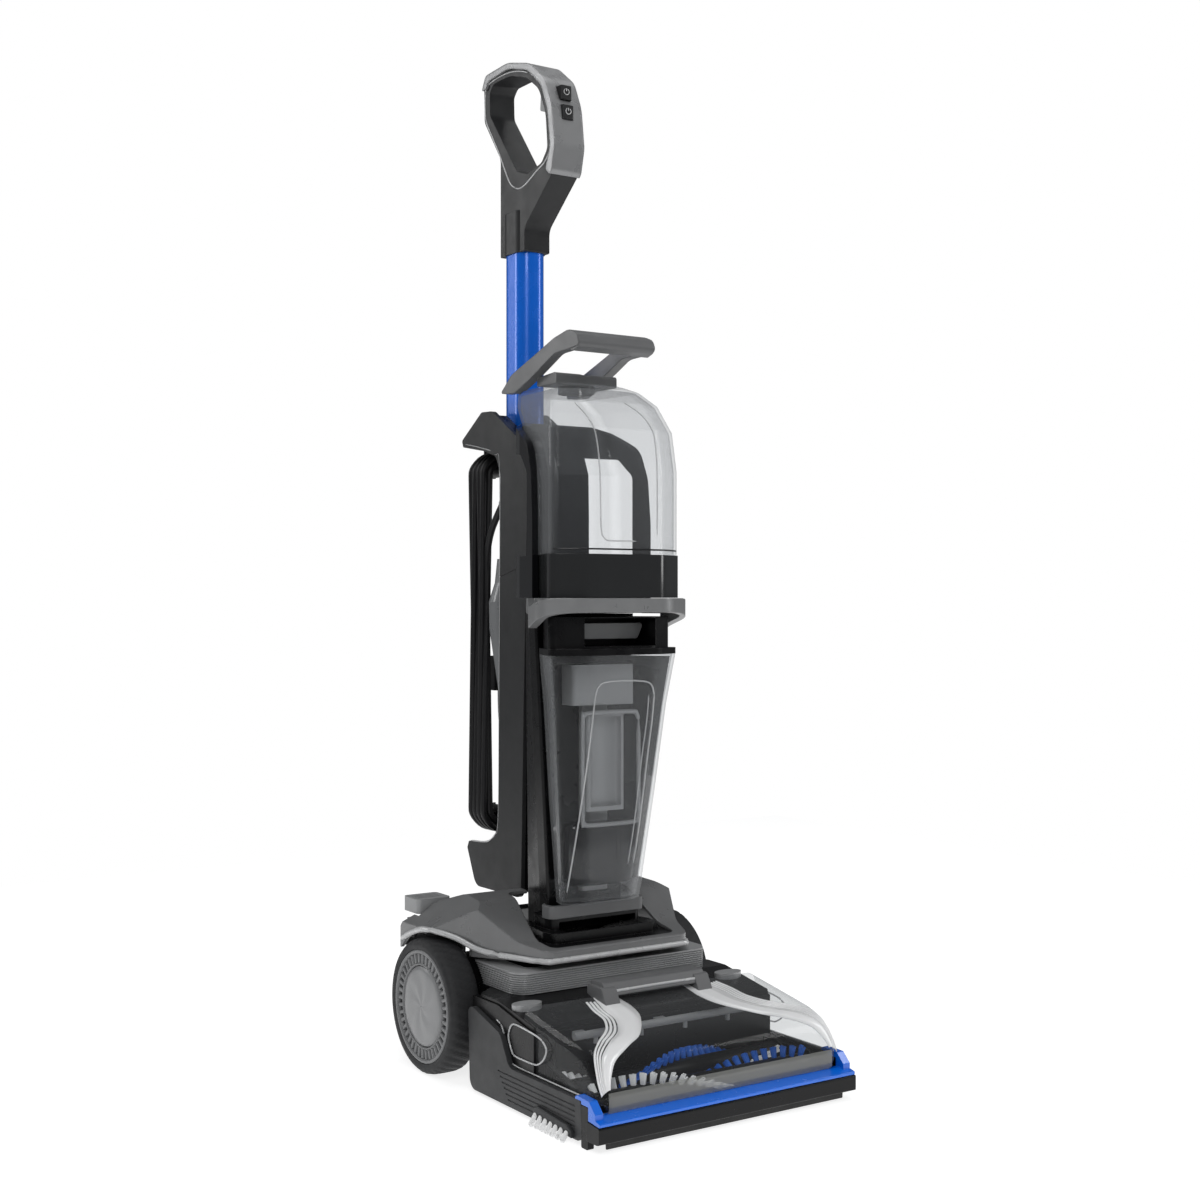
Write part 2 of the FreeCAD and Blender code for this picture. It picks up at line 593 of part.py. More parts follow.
def loft_tank(sections, inset):
    """Loft through plan outlines at several heights, shrunk all round by inset."""
    wires = []
    for z, half, front, rear_half, rear in sections:
        plan = tank_plan(half - inset, front + inset, rear_half - inset, rear - inset)
        scale = half / 80.0
        wires.append(flat_wire(plan, [r * scale for r in TANK_RADII], z))
    return Part.makeLoft(wires, True, True)


def clean_tank():
    """Clear upper tank, open at the bottom where its base closes it."""
    hollow = [(section[0] - 1,) + section[1:] for section in CLEAN_SECTIONS[:-1]]
    shell = loft_tank(CLEAN_SECTIONS, 0).cut(loft_tank(hollow, TANK_WALL))
    return shell.cut(rod_z(0, 284, 735, 760, CAP_RADIUS + 0.3))


CAP_RADIUS = 20.0


def fill_cap():
    cap = rod_z(0, 284, 743.5, 757, CAP_RADIUS)
    grip = rounded_box(-16, 16, 281, 287, 757, 762, 1.5)
    return fuse([cap, grip])


def clean_base():
    """Smoky band that closes the clean tank: a shallow cup with a dark rim."""
    outer = plan_prism(tank_plan(85, 183, 57, 287), TANK_RADII, 516.4, 562.8)
    inner = plan_prism(tank_plan(82, 186, 54, 284), TANK_RADII, 520, 570)
    return outer.cut(inner)


def carry_handle():
    """Loop handle of the clean tank: two side rails joined by a broad front bar."""
    rail = [(366, 749), (341, 768), (281, 788), (252, 798), (222, 804), (206, 798), (200, 785),
            (222, 783), (250, 782), (277, 770), (300, 760), (335, 747)]
    rail_solid = side_prism(rail, [2, 20, 30, 40, 20, 12, 8, 12, 30, 20, 20, 20], -50, -38)
    bar = side_prism([(206, 798), (222, 804), (236, 799), (228, 785), (215, 780), (200, 785)],
                     [6, 8, 4, 6, 4, 6], -49, 49)
    cross = side_prism([(262, 751.2), (262, 764), (302, 761), (302, 751.2)], [2, 4, 4, 2], -40, 40)
    tank = loft_tank(CLEAN_SECTIONS, -0.05)
    loop = fuse([rail_solid, mirrored(rail_solid), bar, cross])
    return loop.cut(tank).cut(rod_z(0, 284, 740, 775, CAP_RADIUS + 1))


def dirty_tank():
    hollow = [(s[0] + (3 if s[0] < 200 else 1),) + s[1:] for s in DIRTY_SECTIONS]
    return loft_tank(DIRTY_SECTIONS, 0).cut(loft_tank(hollow, TANK_WALL))


def dirty_lid():
    """Black lid of the dirty tank, set back above its rim, with a recess for the latch handle."""
    rim = plan_prism(tank_plan(84, 186, 63, 263), TANK_RADII, 455.2, 462)
    top = plan_prism(tank_plan(80, 195, 58, 262), TANK_RADII, 462, DIRTY_LID_TOP_Z)
    lid = fuse([rim, top])
    lid = lid.cut(plan_prism(tank_plan(70, 240, 52, 258), [4, 4, 4, 4, 4, 4], 450, 490))
    return lid.cut(box(-46, 46, 180, 236, 464.5, 494.6))


def lid_latch():
    """Handle plate that is pulled forward to free the dirty tank."""
    plate = front_prism([(-36, 472), (36, 472), (44, 489), (-44, 489)], [4, 4, 3, 3], 216, 220)
    pivot = rod_x(-45.6, 45.6, 228, 487, 3)
    arm = side_prism([(217, 482), (217, 489), (230, 490), (230, 484)], 1, -34, 34)
    return fuse([plate, pivot, arm])


def dirty_duct():
    """Grey intake duct inside the dirty tank, an upright channel with a hood on top."""
    stem = rounded_box(-17, 17, 244, 255, 196, 400, 4)
    head = rounded_box(-40, 40, 226, 255, 400, 444, 6)
    return fuse([stem, head])


def tank_float():
    """Float that shuts the suction when the dirty tank is full."""
    frame = rounded_box(-25, 25, 224, 236, 285, 392, 4)
    return frame.cut(rounded_box(-20, 20, 222, 233, 290, 387, 3))


# ---- handle -------------------------------------------------------------------------------
GRIP_OUTER = [(TUBE_Y + 27, 917), (TUBE_Y + 27, 1034), (459, 1086), (460, 1126), (452, 1140),
              (400, 1142), (352, 1129), (318, 1103), (303, 1070), (297, 1024), (304, 996),
              (367, 944), (367, 917)]
GRIP_OUTER_RADII = [2, 20, 16, 10, 8, 60, 40, 30, 60, 24, 10, 16, 2]
GRIP_INNER = [(446, 1091), (447, 1118), (438, 1127), (400, 1127), (362, 1115), (336, 1096), (321, 1066),
              (317, 1024), (330, 1010), (362, 1004), (384, 1012)]
GRIP_INNER_RADII = [14, 8, 8, 60, 40, 30, 60, 12, 12, 12, 12]


def grip_body():
    """Charcoal handle: stem over the tube and the closed loop for the hand."""
    body = side_prism(GRIP_OUTER, GRIP_OUTER_RADII, -GRIP_HALF, GRIP_HALF)
    body = body.cut(side_prism(GRIP_INNER, GRIP_INNER_RADII, -40, 40))
    sleeve = tube_prism(1.6, 917, 966)
    body = body.fuse(sleeve).cut(tube_prism(0.0, 900, TUBE_TOP_Z))
    body = body.cut(cover_prism(0))
    body = body.cut(box(-5.4, 5.4, 324, 356, 1056, 1122))
    body = body.cut(rod_x(-8.4, 8.4, *TRIGGER_PIVOT, 1.8 + RUNNING_GAP))
    for z in BUTTON_HEIGHTS:
        body = body.cut(box(-7.4, 7.4, 290, 324, z - 8.4, z + 8.4))
    return body


def cover_prism(shrink):
    """Outer skin of the loop's front and top, where the silver cover lies."""
    outer = [(470, 1124), (470, 1160), (280, 1160), (280, 993), (309, 993), (317, 1000), (307, 1024),
             (313, 1068), (327, 1098), (356, 1122), (400, 1135), (446, 1132), (452, 1124)]
    return side_prism(outer, [1, 1, 1, 1, 4, 4, 24, 60, 30, 40, 60, 8, 2], -60, 60)


def grip_cover():
    """Silver cover over the loop's top and front, with a recess for the two buttons."""
    full = side_prism(GRIP_OUTER, GRIP_OUTER_RADII, -COVER_HALF, COVER_HALF)
    cover = full.common(cover_prism(0))
    for z in BUTTON_HEIGHTS:
        cover = cover.cut(box(-7.4, 7.4, 280, 330, z - 8.4, z + 8.4))
    return cover


BUTTON_HEIGHTS = (1086.0, 1063.0)
TRIGGER_PIVOT = (345.0, 1099.0)


def grip_button(z):
    y = 303.5 if z > 1075 else 299.5
    return rounded_box(-7, 7, y, y + 14, z - 8, z + 8, 1.5)


def trigger():
    """Spray trigger under the top bar, hinged at its upper end."""
    lever = side_prism([(340, 1073), (352, 1076), (350, 1098), (341, 1104), (333, 1100), (331, 1086)],
                       [2, 3, 4, 3, 3, 4], -5, 5)
    return lever.fuse(rod_x(-8, 8, *TRIGGER_PIVOT, 1.8))


def handle_tube():
    return tube_prism(0, TUBE_BOTTOM_Z, TUBE_TOP_Z).cut(tube_prism(-TUBE_WALL, TUBE_BOTTOM_Z - 1, TUBE_TOP_Z + 1))


# ---- pedal --------------------------------------------------------------------------------
PEDAL_X = (-150.0, -108.0)
PEDAL_PIVOT = (384.0, 146.0)


def recline_pedal():
    pad = rounded_box(*PEDAL_X, 376, 412, 164, 180, 5)
    for i in range(3):
        y = 386 + 7 * i
        pad = pad.cut(box(PEDAL_X[0] + 6, PEDAL_X[1] - 6, y, y + 3, 178.6, 182))
    stem = box(-138, -120, 378, 392, 140, 166)
    pivot = rod_x(PEDAL_X[0] - 4.5, PEDAL_X[1] + 4.5, *PEDAL_PIVOT, 4)
    return fuse([pad, stem, pivot])


# ---- power cord ---------------------------------------------------------------------------
HOOK_Z = 668.2
LEAD_ROUTE = [(-25, 403, 626), (-25, 418, 610.5), (-25.6, 431, 592), (-25, 439, 571), (-24.6, 442.5, 548)]


def cord_hook():
    """Upper cord hook, a swivelling post with a lip behind the cord."""
    post = rod_y(0, 392, 476, HOOK_Z, 7)
    spigot = rod_y(0, 364, 392, HOOK_Z, 5)
    lip = rounded_box(-8, 8, 474.4, 477.8, HOOK_Z - 7, HOOK_Z + 26, 1.4)
    return fuse([post, spigot, lip])


def power_cord():
    """Outer shape of the wound cord: eight turns, two wide and four deep."""
    height = (HANK_Z[0] + HANK_Z[1]) / 2
    half_z = (HANK_Z[1] - HANK_Z[0]) / 2
    outer = front_prism([(-HANK_HALF, height - half_z), (HANK_HALF, height - half_z),
                         (HANK_HALF, height + half_z), (-HANK_HALF, height + half_z)],
                        HANK_HALF - 0.5, *HANK_Y)
    wall = 2 * CORD_DIAMETER + 0.5
    inner = front_prism([(-HANK_HALF + wall, height - half_z + wall), (HANK_HALF - wall, height - half_z + wall),
                         (HANK_HALF - wall, height + half_z - wall), (-HANK_HALF + wall, height + half_z - wall)],
                        HANK_HALF - wall - 0.5, HANK_Y[0] - 1, HANK_Y[1] + 1)
    return outer.cut(inner)


def routed_tube(points, diameter):
    """Tube along straight runs joined by tangent arcs; each arc is as large as its runs allow."""
    points = [Vector(*p) for p in points]
    edges = []
    start = points[0]
    for i in range(1, len(points) - 1):
        before = points[i - 1] - points[i]
        after = points[i + 1] - points[i]
        trim = 0.45 * min(before.Length, after.Length)
        before.normalize()
        after.normalize()
        half = before.getAngle(after) / 2
        radius = trim * math.tan(half)
        bisector = before + after
        bisector.normalize()
        middle = points[i] + bisector * (radius / math.sin(half) - radius)
        enter, leave = points[i] + before * trim, points[i] + after * trim
        edges.append(Part.LineSegment(start, enter).toShape())
        edges.append(Part.Arc(enter, middle, leave).toShape())
        start = leave
        print("lead radius %.0f mm" % radius)
    edges.append(Part.LineSegment(start, points[-1]).toShape())
    path = Part.Wire(edges)
    profile = Part.Wire(Part.Circle(points[0], points[1] - points[0], diameter / 2).toShape())
    tube = path.makePipeShell([profile], True, False)
    expected = math.pi * diameter ** 2 / 4 * path.Length
    print("lead length %.0f mm, volume %.0f of %.0f" % (path.Length, tube.Volume, expected))
    return tube


def cord_gland():
    """Tapered strain relief where the cord leaves the spine."""
    direction = Vector(0, LEAD_ROUTE[1][1] - LEAD_ROUTE[0][1], LEAD_ROUTE[1][2] - LEAD_ROUTE[0][2])
    direction.normalize()
    tip = Vector(*LEAD_ROUTE[0])
    root = tip - direction * 24
    cone = Part.makeCone(8, CORD_DIAMETER / 2 + 0.8, 24, root, direction)
    return cone.cut(side_prism([(300, 560), (386.2, 560), (386.2, 700), (300, 700)], 0.1, -60, 60))


def cord_plug():
    body = rounded_box(7, 31, HANK_Y[1] + 0.2, HANK_Y[1] + 16, 404, 446, 5)
    pins = [box(12, 13.6, 476.5, 483, 445, 462), box(24.4, 26, 476.5, 483, 445, 462)]
    return fuse([body] + pins)


# ---- write every piece --------------------------------------------------------------------
os.makedirs("parts", exist_ok=True)

panel = side_panel()
tyre_shape = tyre()
rim_shape = wheel_rim()
plate = spine_plate()
button = release_button()

PIECES = {
    "base_chassis": base_chassis(),
    "side_panel_left": panel,
    "side_panel_right": mirrored(panel),
    "motor_cover": motor_cover(),
    "ribbed_band": ribbed_band(),
    "front_bumper": front_bumper(),
    "bumper_strip": bumper_strip(),
    "squeegee": squeegee(),
    "brush_motor": brush_motor(),
    "brush_belt": brush_belt(),
    "edge_brushes": edge_brushes(),
    "wheel_axle": wheel_axle(),
    "spray_bar": spray_bar(),
    "nozzle_cover": nozzle_cover(),
    "nozzle_grip": nozzle_grip(),
    "cover_trims": cover_trims(),
    "release_button_left": button,
    "release_button_right": mirrored(button),
    "recline_pedal": recline_pedal(),
    "tyre_left": tyre_shape,
    "tyre_right": mirrored(tyre_shape),
    "wheel_rim_left": rim_shape,
    "wheel_rim_right": mirrored(rim_shape),
    "front_roll_core": roll_core(ROLL_Y[0]),
    "front_roll_tufts": roll_tufts(ROLL_Y[0], 1),
    "rear_roll_core": roll_core(ROLL_Y[1]),
    "rear_roll_tufts": roll_tufts(ROLL_Y[1], -1),
    "deck_hood": deck_hood(),
    "tank_pocket": tank_pocket(),
    "tray_rim": tray_rim(),
    "spine_left": plate,
    "spine_right": mirrored(plate),
    "spine_core": spine_core(),
    "back_housing": back_housing(),
    "tank_cradle": tank_cradle(),
    "suction_motor": suction_motor(),
    "water_pump": water_pump(),
    "water_heater": water_heater(),
    "rear_duct": rear_duct(),
    "collar_ring": collar_ring(),
    "handle_tube": handle_tube(),
    "grip_body": grip_body(),
    "grip_cover": grip_cover(),
    "trigger": trigger(),
    "steam_button": grip_button(BUTTON_HEIGHTS[0]),
    "power_button": grip_button(BUTTON_HEIGHTS[1]),
    "cord_hook": cord_hook(),
    "cord_gland": cord_gland(),
    "power_cord": power_cord(),
    "cord_lead": routed_tube(LEAD_ROUTE, CORD_DIAMETER).cut(power_cord()),
    "cord_plug": cord_plug(),
    "clean_tank": clean_tank(),
    "clean_base": clean_base(),
    "carry_handle": carry_handle(),
    "fill_cap": fill_cap(),
    "dirty_tank": dirty_tank(),
    "dirty_lid": dirty_lid(),
    "lid_latch": lid_latch(),
    "dirty_duct": dirty_duct(),
    "tank_float": tank_float(),
}
for name, shape in PIECES.items():
    save(name, shape)
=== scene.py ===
import math
import random

import bpy
from mathutils import Matrix, Vector


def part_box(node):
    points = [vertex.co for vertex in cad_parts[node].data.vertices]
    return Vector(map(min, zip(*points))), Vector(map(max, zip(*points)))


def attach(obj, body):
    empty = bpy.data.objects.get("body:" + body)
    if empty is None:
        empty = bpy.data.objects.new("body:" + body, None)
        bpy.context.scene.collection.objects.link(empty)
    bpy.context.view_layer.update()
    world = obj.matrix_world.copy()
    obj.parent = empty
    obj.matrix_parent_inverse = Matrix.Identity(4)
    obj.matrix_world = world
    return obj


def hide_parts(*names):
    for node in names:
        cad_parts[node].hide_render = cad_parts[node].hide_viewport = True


# Upright carpet washer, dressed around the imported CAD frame. Metres, +Z up, front towards -Y.
# Shapes are given in millimetres: across, behind the bumper's front face, above the floor.

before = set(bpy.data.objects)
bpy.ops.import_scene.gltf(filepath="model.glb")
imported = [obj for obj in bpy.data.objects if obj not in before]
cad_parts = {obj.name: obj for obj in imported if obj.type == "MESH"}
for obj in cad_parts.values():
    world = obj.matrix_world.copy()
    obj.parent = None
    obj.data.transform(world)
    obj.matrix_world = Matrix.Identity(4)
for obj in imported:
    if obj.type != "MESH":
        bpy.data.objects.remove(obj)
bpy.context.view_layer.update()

MM = 0.001
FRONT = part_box("front_bumper")[0].y
random.seed(7)


def at(x, back, z):
    return Vector((x * MM, FRONT + back * MM, z * MM))


# ---- camera and light ---------------------------------------------------------------------
CAMERA_PLACE = (-1013.8, -1278.6, 514)
CAMERA_TURN = -33.8
SKY_STRENGTH = 0.13
BACKDROP_STRENGTH = 1.0
FLOOR_HALF = 1.55
FLOOR_GLOW = 0.80
# name, place, target, width and height in metres, and watts
SOFTBOXES = [
    ("key_softbox", (-1.6, -2.2, 2.3), (0, 0, 0.55), 1.0, 1.8, 34),
    ("side_softbox", (2.4, -1.4, 1.6), (0, 0, 0.55), 0.6, 2.2, 22),
    ("rear_softbox", (-1.6, 2.0, 1.8), (0, 0, 0.55), 0.7, 2.0, 20),
    ("top_softbox", (0.2, 0.0, 3.0), (0, 0, 0.5), 1.4, 1.4, 24),
]


def add_camera():
    data = bpy.data.cameras.new("camera")
    data.sensor_width = 36.0
    data.lens = 50.0
    camera = bpy.data.objects.new("camera", data)
    camera.location = at(*CAMERA_PLACE)
    camera.rotation_euler = (math.radians(90), 0, math.radians(CAMERA_TURN))
    bpy.context.scene.collection.objects.link(camera)
    bpy.context.scene.camera = camera


def add_softbox(name, place, target, width, height, watts):
    light = bpy.data.lights.new(name, "AREA")
    light.shape = "RECTANGLE"
    light.size = width
    light.size_y = height
    light.energy = watts
    lamp = bpy.data.objects.new(name, light)
    lamp.location = place
    lamp.rotation_euler = (Vector(target) - Vector(place)).to_track_quat("-Z", "Y").to_euler()
    bpy.context.scene.collection.objects.link(lamp)


def add_world():
    """White backdrop for the eye, a much dimmer sky for light and reflections."""
    world = bpy.data.worlds.new("studio")
    world.use_nodes = True
    tree = world.node_tree
    sky = tree.nodes["Background"]
    sky.inputs["Color"].default_value = (0.95, 0.97, 1.0, 1)
    sky.inputs["Strength"].default_value = SKY_STRENGTH
    backdrop = tree.nodes.new("ShaderNodeBackground")
    backdrop.inputs["Color"].default_value = (1, 1, 1, 1)
    backdrop.inputs["Strength"].default_value = BACKDROP_STRENGTH
    path = tree.nodes.new("ShaderNodeLightPath")
    choice = tree.nodes.new("ShaderNodeMixShader")
    tree.links.new(path.outputs["Is Camera Ray"], choice.inputs[0])
    tree.links.new(sky.outputs["Background"], choice.inputs[1])
    tree.links.new(backdrop.outputs["Background"], choice.inputs[2])
    tree.links.new(choice.outputs["Shader"], tree.nodes["World Output"].inputs["Surface"])
    bpy.context.scene.world = world
    bpy.context.scene.view_settings.view_transform = "Standard"


def add_floor():
    """Pale paper floor with a glow that carries it towards the white backdrop."""
    corners = [(x * FLOOR_HALF, y * FLOOR_HALF, 0) for x, y in ((-1, -1), (1, -1), (1, 1), (-1, 1))]
    mesh = bpy.data.meshes.new("floor")
    mesh.from_pydata(corners, [], [(0, 1, 2, 3)])
    floor = bpy.data.objects.new("floor", mesh)
    bpy.context.scene.collection.objects.link(floor)
    paper = plastic("floor_paper", (0.45, 0.45, 0.45), 0.85, tone=0.01)
    bsdf = paper.node_tree.nodes["Principled BSDF"]
    bsdf.inputs["Emission Color"].default_value = (1, 1, 1, 1)
    bsdf.inputs["Emission Strength"].default_value = FLOOR_GLOW
    mesh.materials.append(paper)


# ---- materials ----------------------------------------------------------------------------
# Most values of a noise texture lie between these two.
NOISE_LOW = 0.3
NOISE_HIGH = 0.7
SMEAR_SHARE = 0.4
LEAST_ROUGHNESS = 0.02
COAT_ROUGHNESS = 0.06
GRAIN_DEPTH = 0.0003
ROUNDING_SAMPLES = 4
CLEAR_CLOUD_SIZE = 0.06
CLEAR_TONE = 0.05
CLEAR_COAT = 0.6
CLEAR_COAT_ROUGHNESS = 0.02
CLEAR_BLEND = 0.35


def shades(color, spread):
    """Darker and lighter shade of a colour, as the two ends of a noise."""
    dark = tuple(max(0.0, c * (1 - spread)) for c in color) + (1,)
    light = tuple(min(1.0, c * (1 + spread)) for c in color) + (1,)
    return dark, light


def noise_node(tree, size, detail=2.0):
    coords = tree.nodes.new("ShaderNodeTexCoord")
    texture = tree.nodes.new("ShaderNodeTexNoise")
    texture.inputs["Scale"].default_value = 1 / size
    texture.inputs["Detail"].default_value = detail
    tree.links.new(coords.outputs["Object"], texture.inputs["Vector"])
    return texture


def tinted(tree, factor, color, spread):
    """Colour between two shades. A colour mix has its colours at inputs 6 and 7, its result at output 2."""
    mix = tree.nodes.new("ShaderNodeMix")
    mix.data_type = "RGBA"
    mix.inputs[6].default_value, mix.inputs[7].default_value = shades(color, spread)
    tree.links.new(factor, mix.inputs[0])
    return mix.outputs[2]


def ranged(tree, factor, low, high):
    """Noise spread over low to high."""
    span = tree.nodes.new("ShaderNodeMapRange")
    span.inputs["From Min"].default_value = NOISE_LOW
    span.inputs["From Max"].default_value = NOISE_HIGH
    span.inputs["To Min"].default_value = low
    span.inputs["To Max"].default_value = high
    tree.links.new(factor, span.inputs["Value"])
    return span.outputs["Result"]


def plastic(name, color, roughness, metallic=0.0, coat=0.0, tone=0.07, tone_size=0.05, spread=0.06,
            grain=0.0, grain_size=0.0007, rounding=0.0, shine=0.5):
    """Moulded surface: cloudy tone, uneven gloss, fine grain and softened edges."""
    material = bpy.data.materials.new(name)
    material.use_nodes = True
    tree = material.node_tree
    bsdf = tree.nodes["Principled BSDF"]
    clouds = noise_node(tree, tone_size, 3.0)
    tree.links.new(tinted(tree, clouds.outputs["Fac"], color, tone), bsdf.inputs["Base Color"])
    smears = noise_node(tree, tone_size * SMEAR_SHARE, 4.0)
    glossiest = max(LEAST_ROUGHNESS, roughness - spread)
    tree.links.new(ranged(tree, smears.outputs["Fac"], glossiest, roughness + spread),
                   bsdf.inputs["Roughness"])
    bsdf.inputs["Metallic"].default_value = metallic
    bsdf.inputs["Specular IOR Level"].default_value = shine
    bsdf.inputs["Coat Weight"].default_value = coat
    bsdf.inputs["Coat Roughness"].default_value = COAT_ROUGHNESS
    bump = tree.nodes.new("ShaderNodeBump")
    bump.inputs["Strength"].default_value = grain
    bump.inputs["Distance"].default_value = GRAIN_DEPTH
    tree.links.new(noise_node(tree, grain_size).outputs["Fac"], bump.inputs["Height"])
    if rounding > 0:
        bevel = tree.nodes.new("ShaderNodeBevel")
        bevel.samples = ROUNDING_SAMPLES
        bevel.inputs["Radius"].default_value = rounding
        tree.links.new(bevel.outputs["Normal"], bump.inputs["Normal"])
    tree.links.new(bump.outputs["Normal"], bsdf.inputs["Normal"])
    return material


def clear_plastic(name, through, body, haze, edge, roughness=0.04):
    """See-through shell: clear when faced, denser and mirror-like where it curves away."""
    material = bpy.data.materials.new(name)
    material.use_nodes = True
    tree = material.node_tree
    bsdf = tree.nodes["Principled BSDF"]
    clouds = noise_node(tree, CLEAR_CLOUD_SIZE)
    tree.links.new(tinted(tree, clouds.outputs["Fac"], body, CLEAR_TONE), bsdf.inputs["Base Color"])
    tree.links.new(ranged(tree, clouds.outputs["Fac"], roughness * 0.6, roughness * 1.5),
                   bsdf.inputs["Roughness"])
    bsdf.inputs["IOR"].default_value = 1.5
    bsdf.inputs["Coat Weight"].default_value = CLEAR_COAT
    bsdf.inputs["Coat Roughness"].default_value = CLEAR_COAT_ROUGHNESS
    passing = tree.nodes.new("ShaderNodeBsdfTransparent")
    passing.inputs["Color"].default_value = tuple(through) + (1,)
    facing = tree.nodes.new("ShaderNodeLayerWeight")
    facing.inputs["Blend"].default_value = CLEAR_BLEND
    amount = tree.nodes.new("ShaderNodeMapRange")
    amount.inputs["To Min"].default_value = haze
    amount.inputs["To Max"].default_value = edge
    tree.links.new(facing.outputs["Facing"], amount.inputs["Value"])
    mix = tree.nodes.new("ShaderNodeMixShader")
    tree.links.new(amount.outputs["Result"], mix.inputs[0])
    tree.links.new(passing.outputs["BSDF"], mix.inputs[1])
    tree.links.new(bsdf.outputs["BSDF"], mix.inputs[2])
    tree.links.new(mix.outputs["Shader"], tree.nodes["Material Output"].inputs["Surface"])
    return material


CHARCOAL = plastic("charcoal_plastic", (0.022, 0.0225, 0.0235), 0.42, shine=0.3, grain=0.35,
                   rounding=0.0012)
SIDE_GREY = plastic("side_panel_plastic", (0.030, 0.031, 0.033), 0.45, shine=0.35, grain=0.4,
                    rounding=0.001)
BLACK = plastic("black_plastic", (0.004, 0.004, 0.0045), 0.30, shine=0.25, grain=0.2, rounding=0.001)
GLOSS_BLACK = plastic("gloss_black_plastic", (0.004, 0.004, 0.005), 0.14, shine=0.3, coat=0.25,
                      rounding=0.0008)
SILVER = plastic("satin_silver_paint", (0.36, 0.365, 0.37), 0.34, metallic=0.3, grain=0.1, rounding=0.0012)
DARK_SILVER = plastic("dark_silver_paint", (0.25, 0.253, 0.257), 0.32, metallic=0.3, grain=0.1,
                      rounding=0.0014)
GRIP_SILVER = plastic("grip_silver_paint", (0.30, 0.303, 0.308), 0.3, metallic=0.35, grain=0.1,
                      rounding=0.003)
# Lighter than the other silvers: real lips and edges, with the highlight they catch painted into this
# colour.
LIP_AND_HIGHLIGHT_SILVER = plastic("lip_silver_painted_highlight", (0.58, 0.585, 0.59), 0.28, metallic=0.15, tone=0.04)
DECK_GREY = plastic("deck_grey_paint", (0.185, 0.187, 0.19), 0.32, metallic=0.25, grain=0.15,
                    rounding=0.002)
HANDLE_GREY = plastic("handle_grey_plastic", (0.13, 0.132, 0.135), 0.38, grain=0.25, rounding=0.0016)
LIGHT_GREY = plastic("light_grey_plastic", (0.33, 0.335, 0.34), 0.42, grain=0.25, rounding=0.001)
WHITE = plastic("white_gloss_plastic", (0.90, 0.905, 0.91), 0.22, coat=0.3, rounding=0.0006)
BLUE = plastic("blue_gloss_paint", (0.001, 0.15, 0.78), 0.22, coat=0.6, rounding=0.001)
TUBE_BLUE = plastic("blue_tube_paint", (0.001, 0.15, 0.78), 0.25, metallic=0.1, coat=0.3, tone=0.03)
RUBBER = plastic("black_rubber", (0.012, 0.012, 0.012), 0.6, grain=0.5)
TYRE = plastic("tyre_rubber", (0.024, 0.0245, 0.026), 0.6, shine=0.3, grain=0.7, grain_size=0.0009)
RIM = plastic("rim_grey_plastic", (0.17, 0.173, 0.177), 0.40, grain=0.2, rounding=0.0006)
HUB = plastic("hub_grey_plastic", (0.23, 0.233, 0.238), 0.36, grain=0.2)
CORD = plastic("cord_jacket", (0.008, 0.008, 0.009), 0.42, shine=0.3, grain=0.5, grain_size=0.0005)
STEEL = plastic("brushed_steel", (0.55, 0.55, 0.56), 0.3, metallic=1.0, grain=0.2)
SMOKY = plastic("smoky_gloss_plastic", (0.022, 0.023, 0.024), 0.16, shine=0.35, coat=0.4, tone=0.05,
                rounding=0.001)
DUCT_GREY = plastic("duct_grey_plastic", (0.16, 0.165, 0.17), 0.3, coat=0.3, tone=0.12, rounding=0.001)
BRISTLE_WHITE = plastic("white_bristle", (0.94, 0.945, 0.95), 0.5, tone=0.12, tone_size=0.002)
BRISTLE_BLUE = plastic("blue_bristle", (0.006, 0.13, 0.60), 0.42, tone=0.15, tone_size=0.002)
CLEAR = clear_plastic("clear_tank_plastic", (0.975, 0.98, 0.985), (0.36, 0.37, 0.38), 0.03, 0.5)
CLEAR_SMOKE = clear_plastic("clear_smoke_plastic", (0.80, 0.81, 0.79), (0.34, 0.345, 0.325), 0.45, 0.85)
CLEAR_COVER = clear_plastic("clear_cover_plastic", (0.93, 0.94, 0.945), (0.16, 0.165, 0.17), 0.04, 0.5)
LINER = plastic("liner_dark_grey", (0.030, 0.031, 0.032), 0.3, coat=0.2, tone=0.2, tone_size=0.08)
RIDGE = clear_plastic("ridge_plastic", (0.95, 0.95, 0.95), (0.72, 0.73, 0.74), 0.45, 0.9)

CAD_MATERIALS = {
    CHARCOAL: ["grip_body", "spine_left", "spine_right", "cord_hook", "power_button", "steam_button"],
    SIDE_GREY: ["side_panel_left", "side_panel_right"],
    BLACK: ["base_chassis", "motor_cover", "front_bumper", "tank_pocket", "spine_core", "back_housing",
            "dirty_lid", "cord_plug", "brush_motor", "suction_motor", "water_pump", "fill_cap", "cord_gland",
            "front_roll_core", "rear_roll_core"],
    GLOSS_BLACK: ["tank_cradle"],
    HANDLE_GREY: ["carry_handle", "tray_rim", "nozzle_grip"],
    SILVER: ["ribbed_band", "release_button_left", "release_button_right"],
    DARK_SILVER: ["collar_ring", "lid_latch"],
    GRIP_SILVER: ["grip_cover"],
    DECK_GREY: ["deck_hood"],
    LIGHT_GREY: ["trigger", "recline_pedal", "dirty_duct", "tank_float", "spray_bar"],
    BLUE: ["bumper_strip"],
    TUBE_BLUE: ["handle_tube"],
    RUBBER: ["squeegee", "brush_belt"],
    STEEL: ["wheel_axle", "water_heater"],
    SMOKY: ["clean_base"],
    DUCT_GREY: ["rear_duct"],
    CLEAR: ["clean_tank", "dirty_tank"],
}


def dress_cad():
    for material, names in CAD_MATERIALS.items():
        for name in names:
            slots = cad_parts[name].data.materials
            slots.clear()
            slots.append(material)


